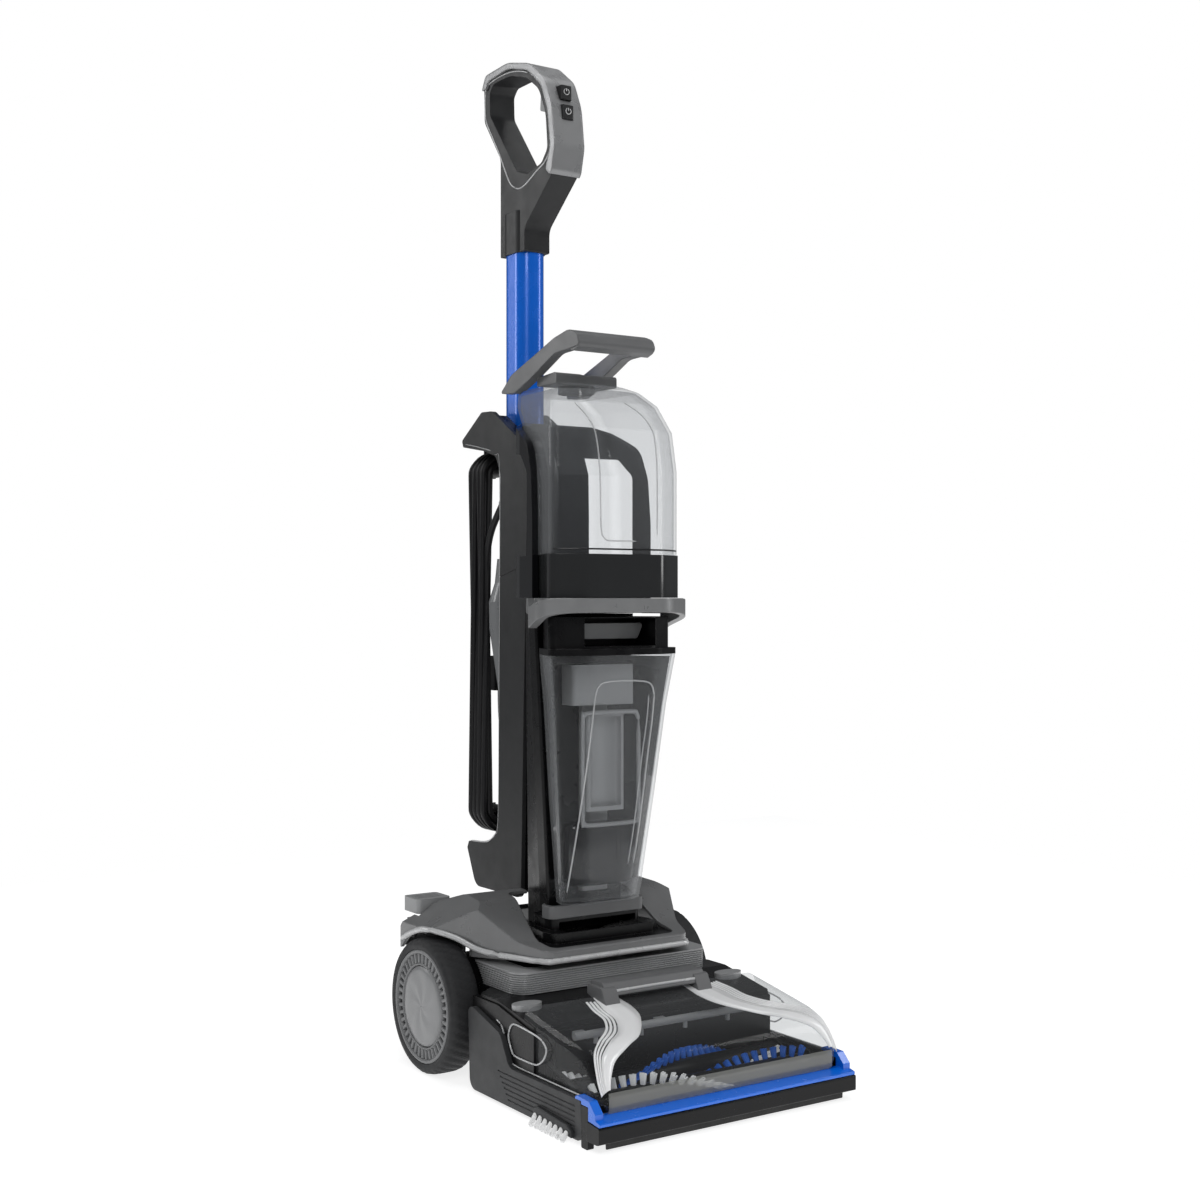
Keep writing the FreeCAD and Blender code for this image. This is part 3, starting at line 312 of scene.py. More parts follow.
# ---- mesh helpers -------------------------------------------------------------------------
def add_piece(name, points, faces, materials, body, smooth=True, face_slots=None):
    """Mesh object in the row frame that rides on a CAD body."""
    mesh = bpy.data.meshes.new(name)
    mesh.from_pydata([tuple(p) for p in points], [], faces)
    mesh.validate()
    for material in materials:
        mesh.materials.append(material)
    for i, polygon in enumerate(mesh.polygons):
        polygon.use_smooth = smooth
        if face_slots:
            polygon.material_index = face_slots[i]
    piece = bpy.data.objects.new(name, mesh)
    bpy.context.scene.collection.objects.link(piece)
    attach(piece, body)
    return piece


def grid_faces(rows, columns, closed_rows=False, closed_columns=False):
    """Quads over a rows x columns grid of points."""
    faces = []
    for i in range(rows if closed_rows else rows - 1):
        for j in range(columns if closed_columns else columns - 1):
            a, b = i * columns + j, i * columns + (j + 1) % columns
            c, d = ((i + 1) % rows) * columns + (j + 1) % columns, ((i + 1) % rows) * columns + j
            faces.append((a, b, c, d))
    return faces


def end_caps(rows, columns):
    """Flat ends of a grid of points that is closed along its columns."""
    last = columns * (rows - 1)
    return [tuple(range(columns)), tuple(last + k for k in range(columns))]


def mirrored(half):
    """Line from the left edge to the middle, carried on to the right edge as its mirror image."""
    return half + [(-x, back, z) for x, back, z in reversed(half[:-1])]


def on_plane(x, outline):
    """Outline of (behind, above) points laid on the upright plane at x."""
    return [(x, back, z) for back, z in outline]


SIDES = ((-1, "left"), (1, "right"))


# ---- power cord ---------------------------------------------------------------------------
CORD_DIAMETER = 8.0
LEAD_ROUTE = [at(-25, 403, 626), at(-25, 418, 610.5), at(-25.6, 431, 592), at(-25, 439, 571),
              at(-24.6, 442.5, 548)]
HANK_LAYERS = 4
HANK_BACK = 440.75
LAYER_STEP = 9.5
HANK_HALVES = (21.0, 29.0)
HANK_LOW_Z = 269.0
HANK_HIGH_Z = 659.0
BEND_POINTS = 4
BEND_STEP = 180 / BEND_POINTS
# heights of the tail between the hank and the plug
TAIL_Z = (305, 345, 375)
TAIL_SHIFT = 7
PLUG_DEPTH = 4


def hank_order():
    """Turns of the hank as (half width, distance back), wound inside, outside, and one layer on."""
    order = []
    for layer in range(HANK_LAYERS):
        halves = HANK_HALVES if layer % 2 == 0 else HANK_HALVES[::-1]
        order += [(half, HANK_BACK + LAYER_STEP * layer) for half in halves]
    return order


def end_bend(half, back, z, first_angle):
    """Control points of the half circle at one end of the hank."""
    reach = half / math.cos(math.radians(BEND_STEP / 2))
    first_x = half * math.cos(math.radians(first_angle))
    points = [at(first_x, back, z)]
    for i in range(BEND_POINTS):
        angle = math.radians(first_angle + BEND_STEP * (i + 0.5))
        points.append(at(reach * math.cos(angle), back, z + reach * math.sin(angle)))
    return points + [at(-first_x, back, z)]


def build_cord():
    """Lead out of the spine, the wound hank, and the tail up into the plug, as one cord."""
    route = list(LEAD_ROUTE)
    turns = hank_order()
    for number, (half, back) in enumerate(turns):
        route += end_bend(half, back, HANK_LOW_Z, 180)
        if number < len(turns) - 1:
            route += end_bend(half, back, HANK_HIGH_Z, 0)
    plug_low, plug_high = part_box("cord_plug")
    plug_x = (plug_low.x + plug_high.x) / 2
    plug_y = (plug_low.y + plug_high.y) / 2
    last_half, last_back = turns[-1]
    low, middle, high = TAIL_Z
    route += [at(last_half, last_back, low), at(last_half - 1, last_back + TAIL_SHIFT, middle),
              Vector((plug_x, plug_y, high * MM)), Vector((plug_x, plug_y, plug_low.z + PLUG_DEPTH * MM))]
    curve = bpy.data.curves.new("power_cord_line", "CURVE")
    curve.dimensions = "3D"
    curve.bevel_depth = CORD_DIAMETER / 2 * MM
    curve.bevel_resolution = 3
    curve.use_fill_caps = True
    spline = curve.splines.new("NURBS")
    spline.points.add(len(route) - 1)
    for point, place in zip(spline.points, route):
        point.co = tuple(place) + (1,)
    spline.order_u = 3
    spline.use_endpoint_u = True
    spline.resolution_u = 4
    curve.materials.append(CORD)
    cord = bpy.data.objects.new("wound_power_cord", curve)
    bpy.context.scene.collection.objects.link(cord)
    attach(cord, "upright")
    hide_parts("power_cord", "cord_lead")


# ---- wheels -------------------------------------------------------------------------------
AXLE_BACK = 332.0
AXLE_Z = 73.0
# Sections are (across, radius) on the right wheel.
TYRE_SECTION = [(135.0, 61.2), (134.2, 65), (134.6, 69), (137.5, 71.8), (142, 72.8), (147, 73), (152, 73),
                (157, 73), (162, 72.8), (166.5, 71.8), (169.4, 69), (169.8, 65), (169.0, 61.2)]
TYRE_MIDDLE = 152
TREAD_HALF = 15
TREAD_STEPS = 168
GROOVE_DEPTH = 1.7
GROOVE_EVERY = 4
GROOVE_LEAN = 5


def wheel_point(side, x, radius, angle):
    return at(side * x, AXLE_BACK + radius * math.cos(angle), AXLE_Z + radius * math.sin(angle))


def build_tyre(side, name, node, body):
    """Tyre with lateral tread grooves that lean one way on each shoulder."""
    points = []
    for i in range(TREAD_STEPS):
        angle = 2 * math.pi * i / TREAD_STEPS
        for x, radius in TYRE_SECTION:
            on_tread = abs(x - TYRE_MIDDLE) < TREAD_HALF
            groove = on_tread and (i + round((x - TYRE_MIDDLE) / GROOVE_LEAN)) % GROOVE_EVERY == 0
            points.append(wheel_point(side, x, radius - (GROOVE_DEPTH if groove else 0), angle))
    tyre = add_piece(name, points, grid_faces(TREAD_STEPS, len(TYRE_SECTION), True, False), [TYRE], body)
    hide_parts(node)


RIM_RING = [(140, 61), (168.4, 61), (169.6, 60), (169.6, 57.8), (168.4, 56.6), (160, 56.2)]
HUB_RING = [(160, 47), (167.6, 46.4), (168.8, 45.4), (168.4, 44.2), (165.5, 43.8)]
SLOT_FLOOR = [(158.5, 62), (158.5, 12)]
HUB_DISC = [(165.4, 43.6), (167.6, 42.4), (168.2, 38), (168.6, 32), (168.9, 26), (169.1, 20), (169.2, 14),
            (169.3, 8), (169.3, 0.5)]
RING_STEPS = 96
HUB_FACETS = 6
HUB_RADIUS = 44
FACET_SWEEP = 0.9
FACET_RISE = 1.7
FACET_INNER_FADE = 14
FACET_OUTER_FADE = 5
SPOKE_COUNT = 40
SPOKE_REACH = (45.5, 57.5)
# across, and half of the angle that a spoke takes up there, in radians
SPOKE_SECTION = [(160.0, 0.038), (167.6, 0.038), (168.2, 0.028)]


def facet(radius, angle):
    """Rise of the hub disc's swept facets, faded out at its middle and its edge."""
    sweep = (angle * HUB_FACETS / (2 * math.pi) + (radius / HUB_RADIUS) * FACET_SWEEP) % 1.0
    inner = min(1, radius / FACET_INNER_FADE)
    outer = min(1, (HUB_RADIUS - radius) / FACET_OUTER_FADE + 0.1)
    return FACET_RISE * (0.5 - abs(sweep - 0.5)) * inner * outer


def build_rim(side, name, node, body):
    """Rim with radial spokes between its slots, round a hub disc of six swept facets."""
    points, faces, slots = [], [], []

    def surface(section, steps, slot, shape=None):
        start = len(points)
        for i in range(steps):
            angle = 2 * math.pi * i / steps
            for x, radius in section:
                rise = shape(radius, angle) if shape else 0.0
                points.append(wheel_point(side, x + rise, radius, angle))
        for face in grid_faces(steps, len(section), True, False):
            faces.append(tuple(start + k for k in face))
            slots.append(slot)

    surface(RIM_RING, RING_STEPS, 0)
    surface(HUB_RING, RING_STEPS, 0)
    surface(SLOT_FLOOR, RING_STEPS // 2, 2)
    surface(HUB_DISC, RING_STEPS, 1, facet)
    for i in range(SPOKE_COUNT):
        angle = 2 * math.pi * i / SPOKE_COUNT
        start = len(points)
        for x, half_turn in SPOKE_SECTION:
            for radius in SPOKE_REACH:
                for turn in (-half_turn, half_turn):
                    points.append(wheel_point(side, x, radius, angle + turn))
        for k in (0, 4):
            a, b, c, d, e, f, g, h = (start + k + n for n in range(8))
            faces += [(a, c, g, e), (b, f, h, d)]
        faces.append((start + 8, start + 10, start + 11, start + 9))
        slots += [0] * 5
    rim = add_piece(name, points, faces, [RIM, HUB, RUBBER], body, face_slots=slots)
    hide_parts(node)


# ---- brush rolls --------------------------------------------------------------------------
ROLL_Z = 28.5
ROLL_CORE = 13.0
ROLL_TIP = 24.0
TUFT_COUNT = 26
TUFT_SPAN = 246.0
TUFT_START = 40
ROLL_SWEEP = 250
BRISTLES = 9
BRISTLE_UNEVEN = 0.9
# radius at the root and at the tip
ROLL_BRISTLE = (1.25, 1.05)
EDGE_BRISTLE = (1.0, 0.75)
# spread of a tuft along the roll in millimetres, and round it in radians
ROOT_SPREAD = (1.7, 0.13)
TIP_SPREAD = (2.7, 0.115)


def bristle(points, faces, root, tip, root_radius, tip_radius, sides=5):
    """One tapered bristle with a flat tip. Returns how many faces it added."""
    along = (tip - root).normalized()
    across = along.orthogonal().normalized()
    start = len(points)
    for centre, radius in ((root, root_radius), (tip, tip_radius)):
        for i in range(sides):
            turn = Matrix.Rotation(2 * math.pi * i / sides, 4, along) @ across
            points.append(centre + turn * radius * MM)
    for i in range(sides):
        j = (i + 1) % sides
        faces.append((start + i, start + j, start + sides + j, start + sides + i))
    faces.append(tuple(start + sides + i for i in range(sides)))
    return sides + 1


def tuft_point(x, back, radius, angle, offset, spread):
    """Point of a tuft round a roll's axis; offset is its place in the tuft, along and round."""
    turn = angle + spread[1] * offset[1]
    return at(x + spread[0] * offset[0], back + radius * math.cos(turn), ROLL_Z + radius * math.sin(turn))


def build_roll_tufts(name, node, body, back, hand):
    """One white and one blue helix of tufts; hand is the way they wind, 1 or -1."""
    points, faces, slots = [], [], []
    for row, start_angle in enumerate((0, 180)):
        for i in range(TUFT_COUNT):
            share = i / (TUFT_COUNT - 1)
            x = (share - 0.5) * TUFT_SPAN
            angle = math.radians(start_angle + hand * ROLL_SWEEP * share + TUFT_START)
            for k in range(BRISTLES):
                lean = 2 * math.pi * k / BRISTLES
                ring = 0.0 if k == 0 else 1.0
                offset = (ring * math.cos(lean), ring * math.sin(lean))
                length = ROLL_TIP - random.uniform(0.0, BRISTLE_UNEVEN)
                root = tuft_point(x, back, ROLL_CORE, angle, offset, ROOT_SPREAD)
                tip = tuft_point(x, back, length, angle, offset, TIP_SPREAD)
                slots += [row] * bristle(points, faces, root, tip, *ROLL_BRISTLE)
    tufts = add_piece(name, points, faces, [BRISTLE_WHITE, BRISTLE_BLUE], body, face_slots=slots)
    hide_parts(node)


EDGE_TUFTS = 7
EDGE_TUFT_START = 54
EDGE_TUFT_PITCH = 9.4
EDGE_BRISTLES = 11
# (across, above), then spread along the holder, and up and down
EDGE_ROOT = (158.6, 10.5)
EDGE_TIP = (168.6, 3.2)
EDGE_ROOT_SPREAD = 1.8
EDGE_TIP_SPREAD = 3.4
EDGE_THICKNESS = 1.2
EDGE_UNEVEN = (-0.8, 0.4)
EDGE_LEAN = 5
EDGE_RISE = 0.5
HOLDER_SECTION = [(46, 5), (114, 10.5), (114, 17.5), (108, 20), (52, 16), (46, 12)]
HOLDER_MIDDLE = (80, 12)
# across, and how many times the outline draws in there by HOLDER_DRAW, along and up
HOLDER_STEPS = ((157.2, 0.0), (160.0, 0.0), (161.0, 1.2))
HOLDER_DRAW = (0.02, 0.12)


def build_edge_brushes():
    """Side brushes: a dark holder and seven leaning white tufts on each side."""
    points, faces, slots = [], [], []
    for side in (-1, 1):
        for i in range(EDGE_TUFTS):
            back = EDGE_TUFT_START + EDGE_TUFT_PITCH * i
            for k in range(EDGE_BRISTLES):
                lean = 2 * math.pi * k / (EDGE_BRISTLES - 1)
                ring = 0.0 if k == EDGE_BRISTLES - 1 else 1.0
                root = at(side * EDGE_ROOT[0], back + EDGE_ROOT_SPREAD * ring * math.cos(lean),
                          EDGE_ROOT[1] + EDGE_RISE * i + EDGE_THICKNESS * ring * math.sin(lean))
                tip = at(side * (EDGE_TIP[0] + random.uniform(*EDGE_UNEVEN)),
                         back - EDGE_LEAN + EDGE_TIP_SPREAD * ring * math.cos(lean),
                         EDGE_TIP[1] + EDGE_THICKNESS * ring * math.sin(lean))
                slots += [0] * bristle(points, faces, root, tip, *EDGE_BRISTLE)
        start = len(points)
        middle, middle_z = HOLDER_MIDDLE
        for x, shrink in HOLDER_STEPS:
            for back, z in HOLDER_SECTION:
                points.append(at(side * x, back + (middle - back) * HOLDER_DRAW[0] * shrink,
                                 z + (middle_z - z) * HOLDER_DRAW[1] * shrink))
        corners = len(HOLDER_SECTION)
        holder = grid_faces(len(HOLDER_STEPS), corners, False, True)
        holder.append(end_caps(len(HOLDER_STEPS), corners)[1])
        faces += [tuple(start + k for k in face) for face in holder]
        slots += [1] * len(holder)
    brushes = add_piece("side_bristles", points, faces, [BRISTLE_WHITE, SIDE_GREY], "base", smooth=False,
                        face_slots=slots)
    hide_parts("edge_brushes")


# ---- clear nozzle cover ---------------------------------------------------------------------
# (behind, above), from the lip at the bumper up and back over the rolls
COVER_PROFILE = [(16, 31), (13.5, 34), (13, 40), (13.3, 46), (14, 51.5), (17, 58), (21, 65), (27, 73.5),
                 (34, 80), (44, 86), (54, 89.2), (66, 91.5), (83, 94.5), (100, 97.5), (125, 101.8),
                 (149, 106)]
COVER_HALF = 148.2
SHOULDER = 13.0
SILL_Z = 40.5
# The smoked lens band lies between -LENS_HALF and LENS_HALF, below this point of the profile.
LENS_HALF = 139.0
LENS_TOP = 4


def smooth_line(points, steps=6):
    """Catmull-Rom curve through points given as tuples of equal length."""
    ends = [points[0]] + list(points) + [points[-1]]
    line = []
    for i in range(1, len(ends) - 2):
        p0, p1, p2, p3 = ends[i - 1:i + 3]
        for k in range(steps):
            t = k / steps
            line.append(tuple(0.5 * (2 * b + (c - a) * t + (2 * a - 5 * b + 4 * c - d) * t ** 2
                                     + (3 * b - a - 3 * c + d) * t ** 3)
                              for a, b, c, d in zip(p0, p1, p2, p3)))
    return line + [tuple(points[-1])]


def cover_offset(index, inset):
    """Profile point moved inwards, square to the profile."""
    b0, z0 = COVER_PROFILE[max(0, index - 1)]
    b1, z1 = COVER_PROFILE[min(len(COVER_PROFILE) - 1, index + 1)]
    reach = math.hypot(b1 - b0, z1 - z0)
    back, z = COVER_PROFILE[index]
    return back + (z1 - z0) / reach * inset, z - (b1 - b0) / reach * inset


def cover_surface(x, back):
    """Height of the cover's outer face at a place across and behind the bumper face."""
    over = abs(x) - (COVER_HALF - SHOULDER)
    drop = 0.0
    if over > 0:
        drop = SHOULDER - math.sqrt(max(0.0, SHOULDER ** 2 - min(over, SHOULDER) ** 2))
    top = COVER_PROFILE[LENS_TOP:]
    back = max(back, top[0][0])
    for (b0, z0), (b1, z1) in zip(top, top[1:]):
        if back <= b1:
            return z0 + (z1 - z0) * (back - b0) / (b1 - b0) - drop
    return top[-1][1] - drop


def build_cover():
    """Blown clear cover: rolled front, rounded shoulders, side walls and a smoked lens band."""
    lowest = COVER_PROFILE[0][1]
    foremost = min(back for back, z in COVER_PROFILE)
    turns = range(90, -1, -15)
    stations = [(-(COVER_HALF - SHOULDER) - SHOULDER * math.sin(math.radians(t)),
                 SHOULDER * (1 - math.cos(math.radians(t)))) for t in turns]
    stations += [(x, 0.0) for x in range(-120, 121, 15)]
    stations += [(-x, inset) for x, inset in reversed(stations[:len(turns)])]
    columns = len(COVER_PROFILE)
    points = []
    rows = [(stations[0][0], stations[0][1], True)] + [(x, inset, False) for x, inset in stations]
    rows.append((stations[-1][0], stations[-1][1], True))
    for x, inset, sill in rows:
        for j in range(columns):
            back, z = cover_offset(j, inset)
            floor = lowest if abs(x) < LENS_HALF else SILL_Z
            points.append(at(x, max(back, foremost), SILL_Z if sill else max(z, floor)))
    faces = grid_faces(len(rows), columns)
    slots = []
    for i in range(len(rows) - 1):
        for j in range(columns - 1):
            inner = abs(rows[i][0]) < LENS_HALF and abs(rows[i + 1][0]) < LENS_HALF
            slots.append(1 if inner and j < LENS_TOP else 0)
    cover = add_piece("clear_brush_cover", points, faces, [CLEAR_COVER, CLEAR_SMOKE], "cover",
                      face_slots=slots)
    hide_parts("nozzle_cover")


# ---- white swoops on the cover --------------------------------------------------------------
# Lines are (across, behind) on the cover's left half; side -1 mirrors them to the right.
SWOOP_INNER = [(-44, 146), (-43, 128), (-43, 112), (-50, 88), (-74, 55), (-99, 40), (-121, 29), (-132, 20),
               (-136, 15)]
SWOOP_OUTER = [(-68, 146), (-72, 130), (-75, 117), (-78, 92), (-93, 66), (-116, 48), (-133, 34), (-140, 22),
               (-141, 15)]
SWOOP_HEIGHT = 0.7
STRIPE_WIDTH = 2.6
STRIPE_GAP = 1.5
STRIPE_HEIGHT = 0.6
STRIPE_FIRST = 4
RIBBON_ROOT = -0.4
RIBBON_CROWN = 0.25
# Ahead of this the cover falls away to its nose.
NOSE_FRONT = 13
NOSE_BACK = 50
NOSE_LEAN = 0.9
NOSE_SHARE = 0.35
STRIPE_SIDE_LIMIT = -146.5
STRIPE_REAR_LIMIT = 147.5


def ribbon(points, faces, inner, outer, side, height):
    """Strip lying on the cover between two lines, raised by height, with its edges turned down."""
    start = len(points)
    crown = height + RIBBON_CROWN
    section = ((0.0, RIBBON_ROOT), (0.0, height), (0.33, crown), (0.67, crown), (1.0, height),
               (1.0, RIBBON_ROOT))
    for (x0, b0), (x1, b1) in zip(inner, outer):
        for share, lift in section:
            x, back = x0 + (x1 - x0) * share, b0 + (b1 - b0) * share
            forward = NOSE_LEAN * lift if back < NOSE_BACK else 0
            points.append(at(side * x, back - forward, cover_surface(x, back) + lift))
    faces += [tuple(start + k for k in face) for face in grid_faces(len(inner), len(section))]


def shifted(line, amount):
    """Line moved outwards across the cover, square to its own run; the shift fades at its lower end."""
    moved = []
    for i, (x, back) in enumerate(line):
        x0, b0 = line[max(0, i - 1)]
        x1, b1 = line[min(len(line) - 1, i + 1)]
        reach = math.hypot(x1 - x0, b1 - b0)
        fade = amount * (NOSE_SHARE + (1 - NOSE_SHARE) * min(1.0, (back - NOSE_FRONT) / NOSE_BACK))
        moved.append((x + (b1 - b0) / reach * fade, back - (x1 - x0) / reach * fade))
    return [(max(STRIPE_SIDE_LIMIT, x), min(back, STRIPE_REAR_LIMIT)) for x, back in moved]


def build_swoops():
    """A broad swoop with three stripes beside it on the left, and four on the right."""
    points, faces = [], []
    inner, outer = smooth_line(SWOOP_INNER), smooth_line(SWOOP_OUTER)
    for side, stripes in ((1, 3), (-1, 4)):
        ribbon(points, faces, inner, outer, side, SWOOP_HEIGHT)
        for number in range(stripes):
            near = STRIPE_GAP + number * (STRIPE_WIDTH + STRIPE_GAP)
            far = near + STRIPE_WIDTH
            beside = outer[STRIPE_FIRST:]
            ribbon(points, faces, shifted(beside, near), shifted(beside, far), side, STRIPE_HEIGHT)
    swoops = add_piece("white_cover_swoops", points, faces, [WHITE], "cover")
    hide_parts("cover_trims")


# ---- raised lines -----------------------------------------------------------------------------
# Lines are (across, behind, above). A half line runs from the left edge to the middle.
RIDGE_STEPS = 5
RIDGE_SIDES = 8
RIDGE_END_SHARE = 0.4
CLEAN_RECESS = [(-50, 209.3, 724), (-43, 195.3, 708), (-37, 189, 690), (-34.5, 184.4, 650),
                (-33, 184.3, 592), (-29, 184.3, 580), (-20, 184.3, 577), (12, 184.3, 577)]
CLEAN_GROOVE = [(10, 205.8, 728), (28, 199.5, 716), (37, 191.3, 700), (40, 188.2, 684), (40, 184.3, 650),
                (40, 184.3, 584)]
CLEAN_SEAM_HALF = [(-81, 205.5, 568), (-70, 197, 568), (-47, 184.4, 568), (0, 184.2, 568)]
DIRTY_LEFT = [(-48, 228, 200), (-43, 214.4, 270), (-38, 201, 350), (-33.5, 194.5, 410), (-29, 192.5, 423),
              (-18, 191.7, 427), (20, 191.7, 427), (37, 192.2, 423), (43, 194.2, 411)]
DIRTY_RIGHT = [(43, 194.2, 411), (43, 198, 385), (40, 203.5, 340), (35, 211, 270), (31, 217, 226)]
DIRTY_RIGHT_EDGE = [(36, 194.6, 411), (36, 198, 385), (33, 204, 340), (28, 211, 270), (24, 217, 226)]


def add_ridge(name, line, radius, material, body):
    """Rounded bead along a smooth line of (across, behind, above) points."""
    track = [at(*point) for point in smooth_line(line, RIDGE_STEPS)]
    points = []
    for i, place in enumerate(track):
        along = (track[min(i + 1, len(track) - 1)] - track[max(i - 1, 0)]).normalized()
        across = along.cross(Vector((0, 1, 0)) if abs(along.y) < 0.9 else Vector((0, 0, 1))).normalized()
        normal = across.cross(along)
        thin = RIDGE_END_SHARE if i in (0, len(track) - 1) else 1.0
        for k in range(RIDGE_SIDES):
            turn = 2 * math.pi * k / RIDGE_SIDES
            points.append(place + (across * math.cos(turn) + normal * math.sin(turn)) * radius * thin * MM)
    faces = grid_faces(len(track), RIDGE_SIDES, False, True) + end_caps(len(track), RIDGE_SIDES)
    return add_piece(name, points, faces, [material], body)


def rounded_frame(x0, x1, z0, z1, radius, back):
    """Closed rounded rectangle as a line of points at one depth."""
    line = []
    for cx, cz, first in ((x1 - radius, z1 - radius, 0), (x0 + radius, z1 - radius, 90),
                          (x0 + radius, z0 + radius, 180), (x1 - radius, z0 + radius, 270)):
        for turn in (0, 45, 90):
            angle = math.radians(first + turn)
            line.append((cx + radius * math.cos(angle), back, cz + radius * math.sin(angle)))
    return line + [line[0]]


def build_tank_lines():
    """Moulded lines on the fronts of both tanks, and a frame inside the dirty one."""
    inner_frame = rounded_frame(x0=-33, x1=40, z0=271, z1=392, radius=9, back=219.8)
    for name, line, radius, material, body in (
            ("clean_tank_recess_line", CLEAN_RECESS, 0.8, RIDGE, "clean_unit"),
            ("clean_tank_groove_line", CLEAN_GROOVE, 0.8, RIDGE, "clean_unit"),
            ("clean_tank_seam", mirrored(CLEAN_SEAM_HALF), 0.9, GLOSS_BLACK, "clean_unit"),
            ("dirty_tank_left_line", DIRTY_LEFT, 0.9, RIDGE, "dirty_unit"),
            ("dirty_tank_right_line", DIRTY_RIGHT, 0.9, RIDGE, "dirty_unit"),
            ("dirty_tank_right_edge", DIRTY_RIGHT_EDGE, 0.7, RIDGE, "dirty_unit"),
            ("dirty_tank_inner_frame", inner_frame, 2.4, LIGHT_GREY, "dirty_unit")):
        add_ridge(name, line, radius, material, body)


# ---- inside the dirty tank --------------------------------------------------------------------
# above, half width in front, front, half width behind, rear
LINER_SECTIONS = [(206, 50, 236, 42, 255), (300, 60, 226, 49, 257), (400, 70, 217, 55, 258),
                  (452, 77, 212, 59, 259)]
LINER_LIP = 8
LINER_LIP_DRAW = 1.5
LINER_CORNER = 6
LINER_CORNER_OUT = 2
LINER_BOW = 0.6
SUMP_OUTLINE = [(-44, 236), (-36, 229), (-10, 226), (20, 226), (40, 229), (49, 236), (48, 248), (38, 253),
                (-34, 253), (-43, 248)]
SUMP_MIDDLE = (2, 240)
# above, and the share of the outline that the sump fills there
SUMP_ROWS = [(204, 0.80), (207, 0.90), (216, 0.97), (240, 1.0), (266, 1.0), (271, 0.97), (272, 0.5)]


def build_tank_liner():
    """Dark liner and sump inside the clear dirty tank, set in from its walls."""
    points = []
    for z, half, front, rear_half, rear in LINER_SECTIONS:
        corner = -rear_half - LINER_CORNER_OUT
        left = [(-half, front, z), (-half + LINER_LIP_DRAW, front + LINER_LIP, z),
                (corner, rear - LINER_CORNER, z), (corner + LINER_CORNER, rear, z), (0, rear + LINER_BOW, z)]
        row = mirrored(left)
        points += [at(*place) for place in row]
    faces = grid_faces(len(LINER_SECTIONS), len(row))
    add_piece("dirty_tank_dark_liner", points, faces, [LINER], "dirty_unit")
    middle_x, middle = SUMP_MIDDLE
    points = []
    for z, share in SUMP_ROWS:
        for x, back in SUMP_OUTLINE:
            points.append(at(middle_x + (x - middle_x) * share, middle + (back - middle) * share, z))
    rows, columns = len(SUMP_ROWS), len(SUMP_OUTLINE)
    faces = grid_faces(rows, columns, False, True) + end_caps(rows, columns)
    add_piece("dirty_tank_sump", points, faces, [GLOSS_BLACK], "dirty_unit")


# ---- edge beads with painted highlights, window rims and button symbols -----------------------
# Half lines are (across, behind, above). The other outlines are (behind, above) on a plane at one side.
DECK_LIP_HALF = [(-162.4, 392, 136), (-162.4, 362, 149), (-161, 332, 155.5), (-143, 303, 149.5),
                 (-127, 277, 138.5), (-108, 238, 135.5), (-92, 202, 135.5), (-76, 197.4, 135.5),
                 (0, 197.2, 135.5)]
NOZZLE_GRIP_HALF = [(-62, 131.5, 113), (-50, 131.2, 113.6), (0, 131, 114)]
GRIP_EDGE = [(457, 1122), (456, 1090), (440, 1064), (424, 1041), (404, 1008), (394, 997), (380, 991),
             (364, 993), (340, 1003), (322, 1010), (310, 1026), (312, 1062), (324, 1092), (354, 1118),
             (400, 1131), (446, 1130), (457, 1122)]
WINDOW_RIM = [(175, 76), (170, 84), (160, 87), (124, 84.5), (110, 81), (103, 74), (108, 64), (118, 57),
              (128, 55), (160, 55), (168, 58), (175, 70), (175, 76)]
PANEL_SEAM = [(200, 84), (188, 78), (176, 52), (164, 45.6), (120, 45), (34, 45)]
SPINE_EDGE = [(474, 701), (430, 693), (399, 683), (388, 655), (389.5, 400), (391.5, 262), (400, 241),
              (420, 230.6), (456, 227.6)]
GRIP_SIDE = 17.2
WINDOW_SIDE = 152
SEAM_SIDE = 151.6
SPINE_SIDE = 37
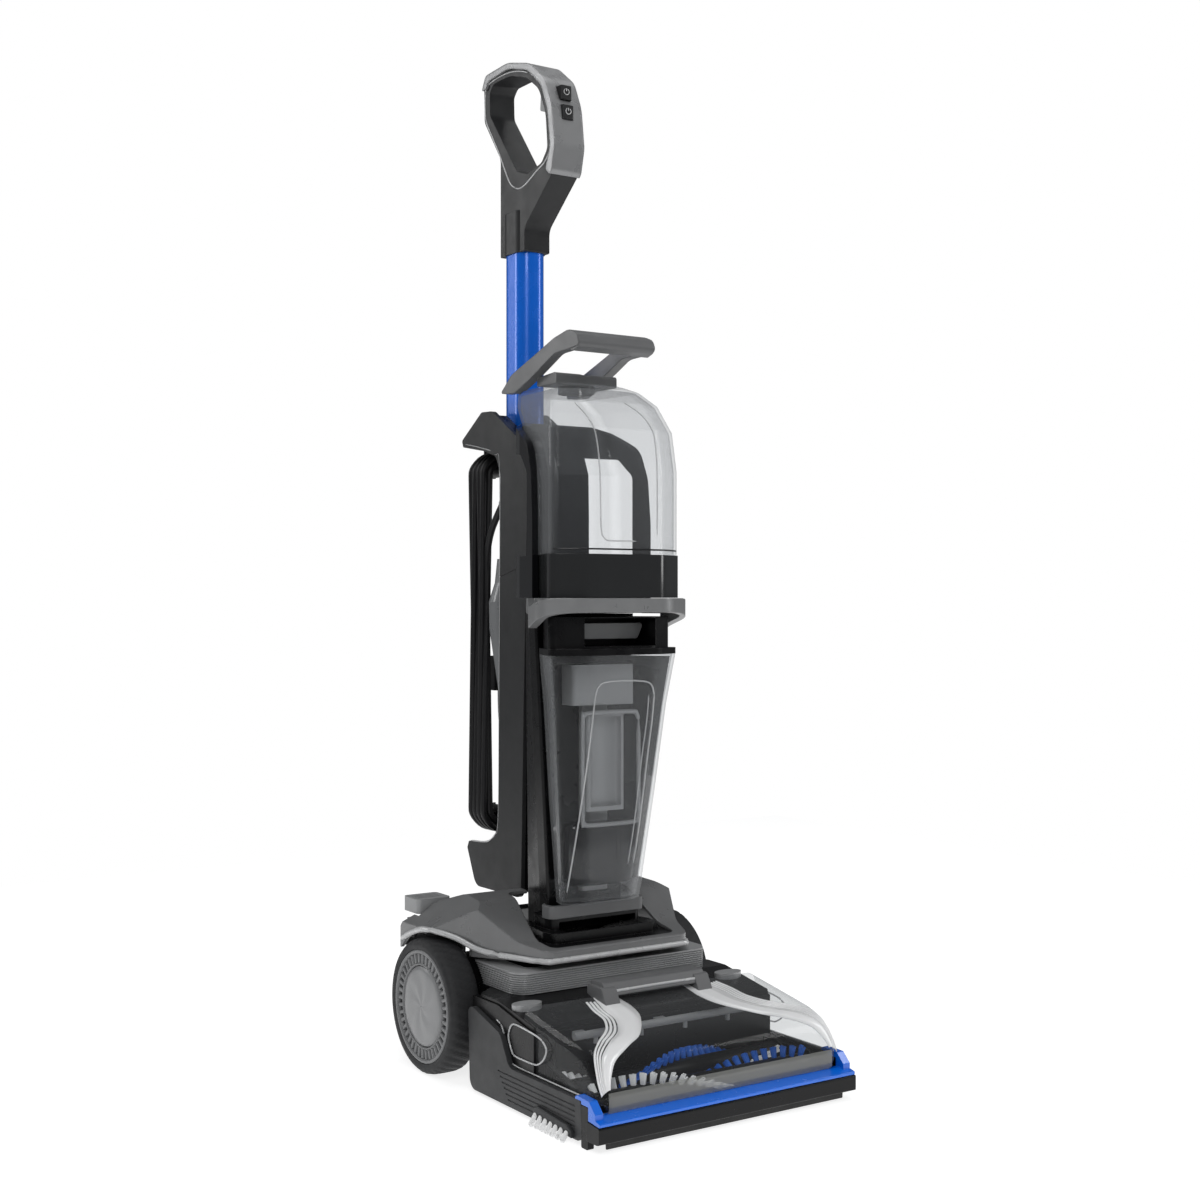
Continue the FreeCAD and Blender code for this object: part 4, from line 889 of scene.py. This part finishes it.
# name, body, and the middle of the button's face as (behind, above)
ICONS = (("steam_icon", "steam_key", 303.4, 1087), ("power_icon", "power_key", 299.4, 1064))
ICON_RADIUS = 3.4
ICON_LINE = 0.35


def build_trim_lines():
    """Lips in lighter silver with their highlights painted in, and light seams along the edges of the
    panels.
    """
    # painted highlight: the deck's lower lip as a bead lighter than the deck
    add_ridge("deck_lip_painted_highlight", mirrored(DECK_LIP_HALF), 3.2, LIP_AND_HIGHLIGHT_SILVER, "upright")
    for side, word in SIDES:
        edge = on_plane(side * GRIP_SIDE, GRIP_EDGE)
        # painted highlight along the grip cover's edge, in the lighter lip silver
        add_ridge("grip_edge_painted_highlight_" + word, edge, 0.8, LIP_AND_HIGHLIGHT_SILVER, "upright")
    # painted highlight along the nozzle grip's top edge
    add_ridge("nozzle_grip_edge_painted_highlight", mirrored(NOZZLE_GRIP_HALF), 1.5, LIP_AND_HIGHLIGHT_SILVER, "cover")
    for side, word in SIDES:
        for name, x, outline, radius, material, body in (
                ("side_window_rim_", WINDOW_SIDE, WINDOW_RIM, 0.9, RIDGE, "base"),
                ("side_panel_light_seam_", SEAM_SIDE, PANEL_SEAM, 0.8, RIDGE, "base"),
                # painted highlight: the chamfered rear edge of each spine plate as a light silver bead
                ("spine_rear_edge_painted_highlight_", SPINE_SIDE, SPINE_EDGE, 1.1, LIP_AND_HIGHLIGHT_SILVER, "upright")):
            add_ridge(name + word, on_plane(side * x, outline), radius, material, body)


def build_icons():
    """Plain power symbol on each handle button: an open ring and a bar."""
    for name, body, back, z in ICONS:
        turns = [math.radians(angle) for angle in range(120, 421, 30)]
        ring = [(ICON_RADIUS * math.cos(turn), back, z + ICON_RADIUS * math.sin(turn)) for turn in turns]
        bar = [(0, back, z + rise) for rise in (0.5, 2.2, 3.8)]
        add_ridge(name + "_ring", ring, ICON_LINE, WHITE, body)
        add_ridge(name + "_bar", bar, ICON_LINE, WHITE, body)


# ---- build --------------------------------------------------------------------------------
add_camera()
add_world()
build_cord()
add_floor()
for softbox in SOFTBOXES:
    add_softbox(*softbox)
dress_cad()
for side, word in SIDES:
    build_tyre(side, "treaded_tyre_" + word, "tyre_" + word, "wheel_" + word)
    build_rim(side, "slotted_rim_" + word, "wheel_rim_" + word, "wheel_" + word)
build_roll_tufts("front_bristle_roll", "front_roll_tufts", "front_roll", 50, 1)
build_roll_tufts("rear_bristle_roll", "rear_roll_tufts", "rear_roll", 101, -1)
build_edge_brushes()
build_cover()
build_swoops()
build_tank_lines()
build_tank_liner()
build_trim_lines()
build_icons()
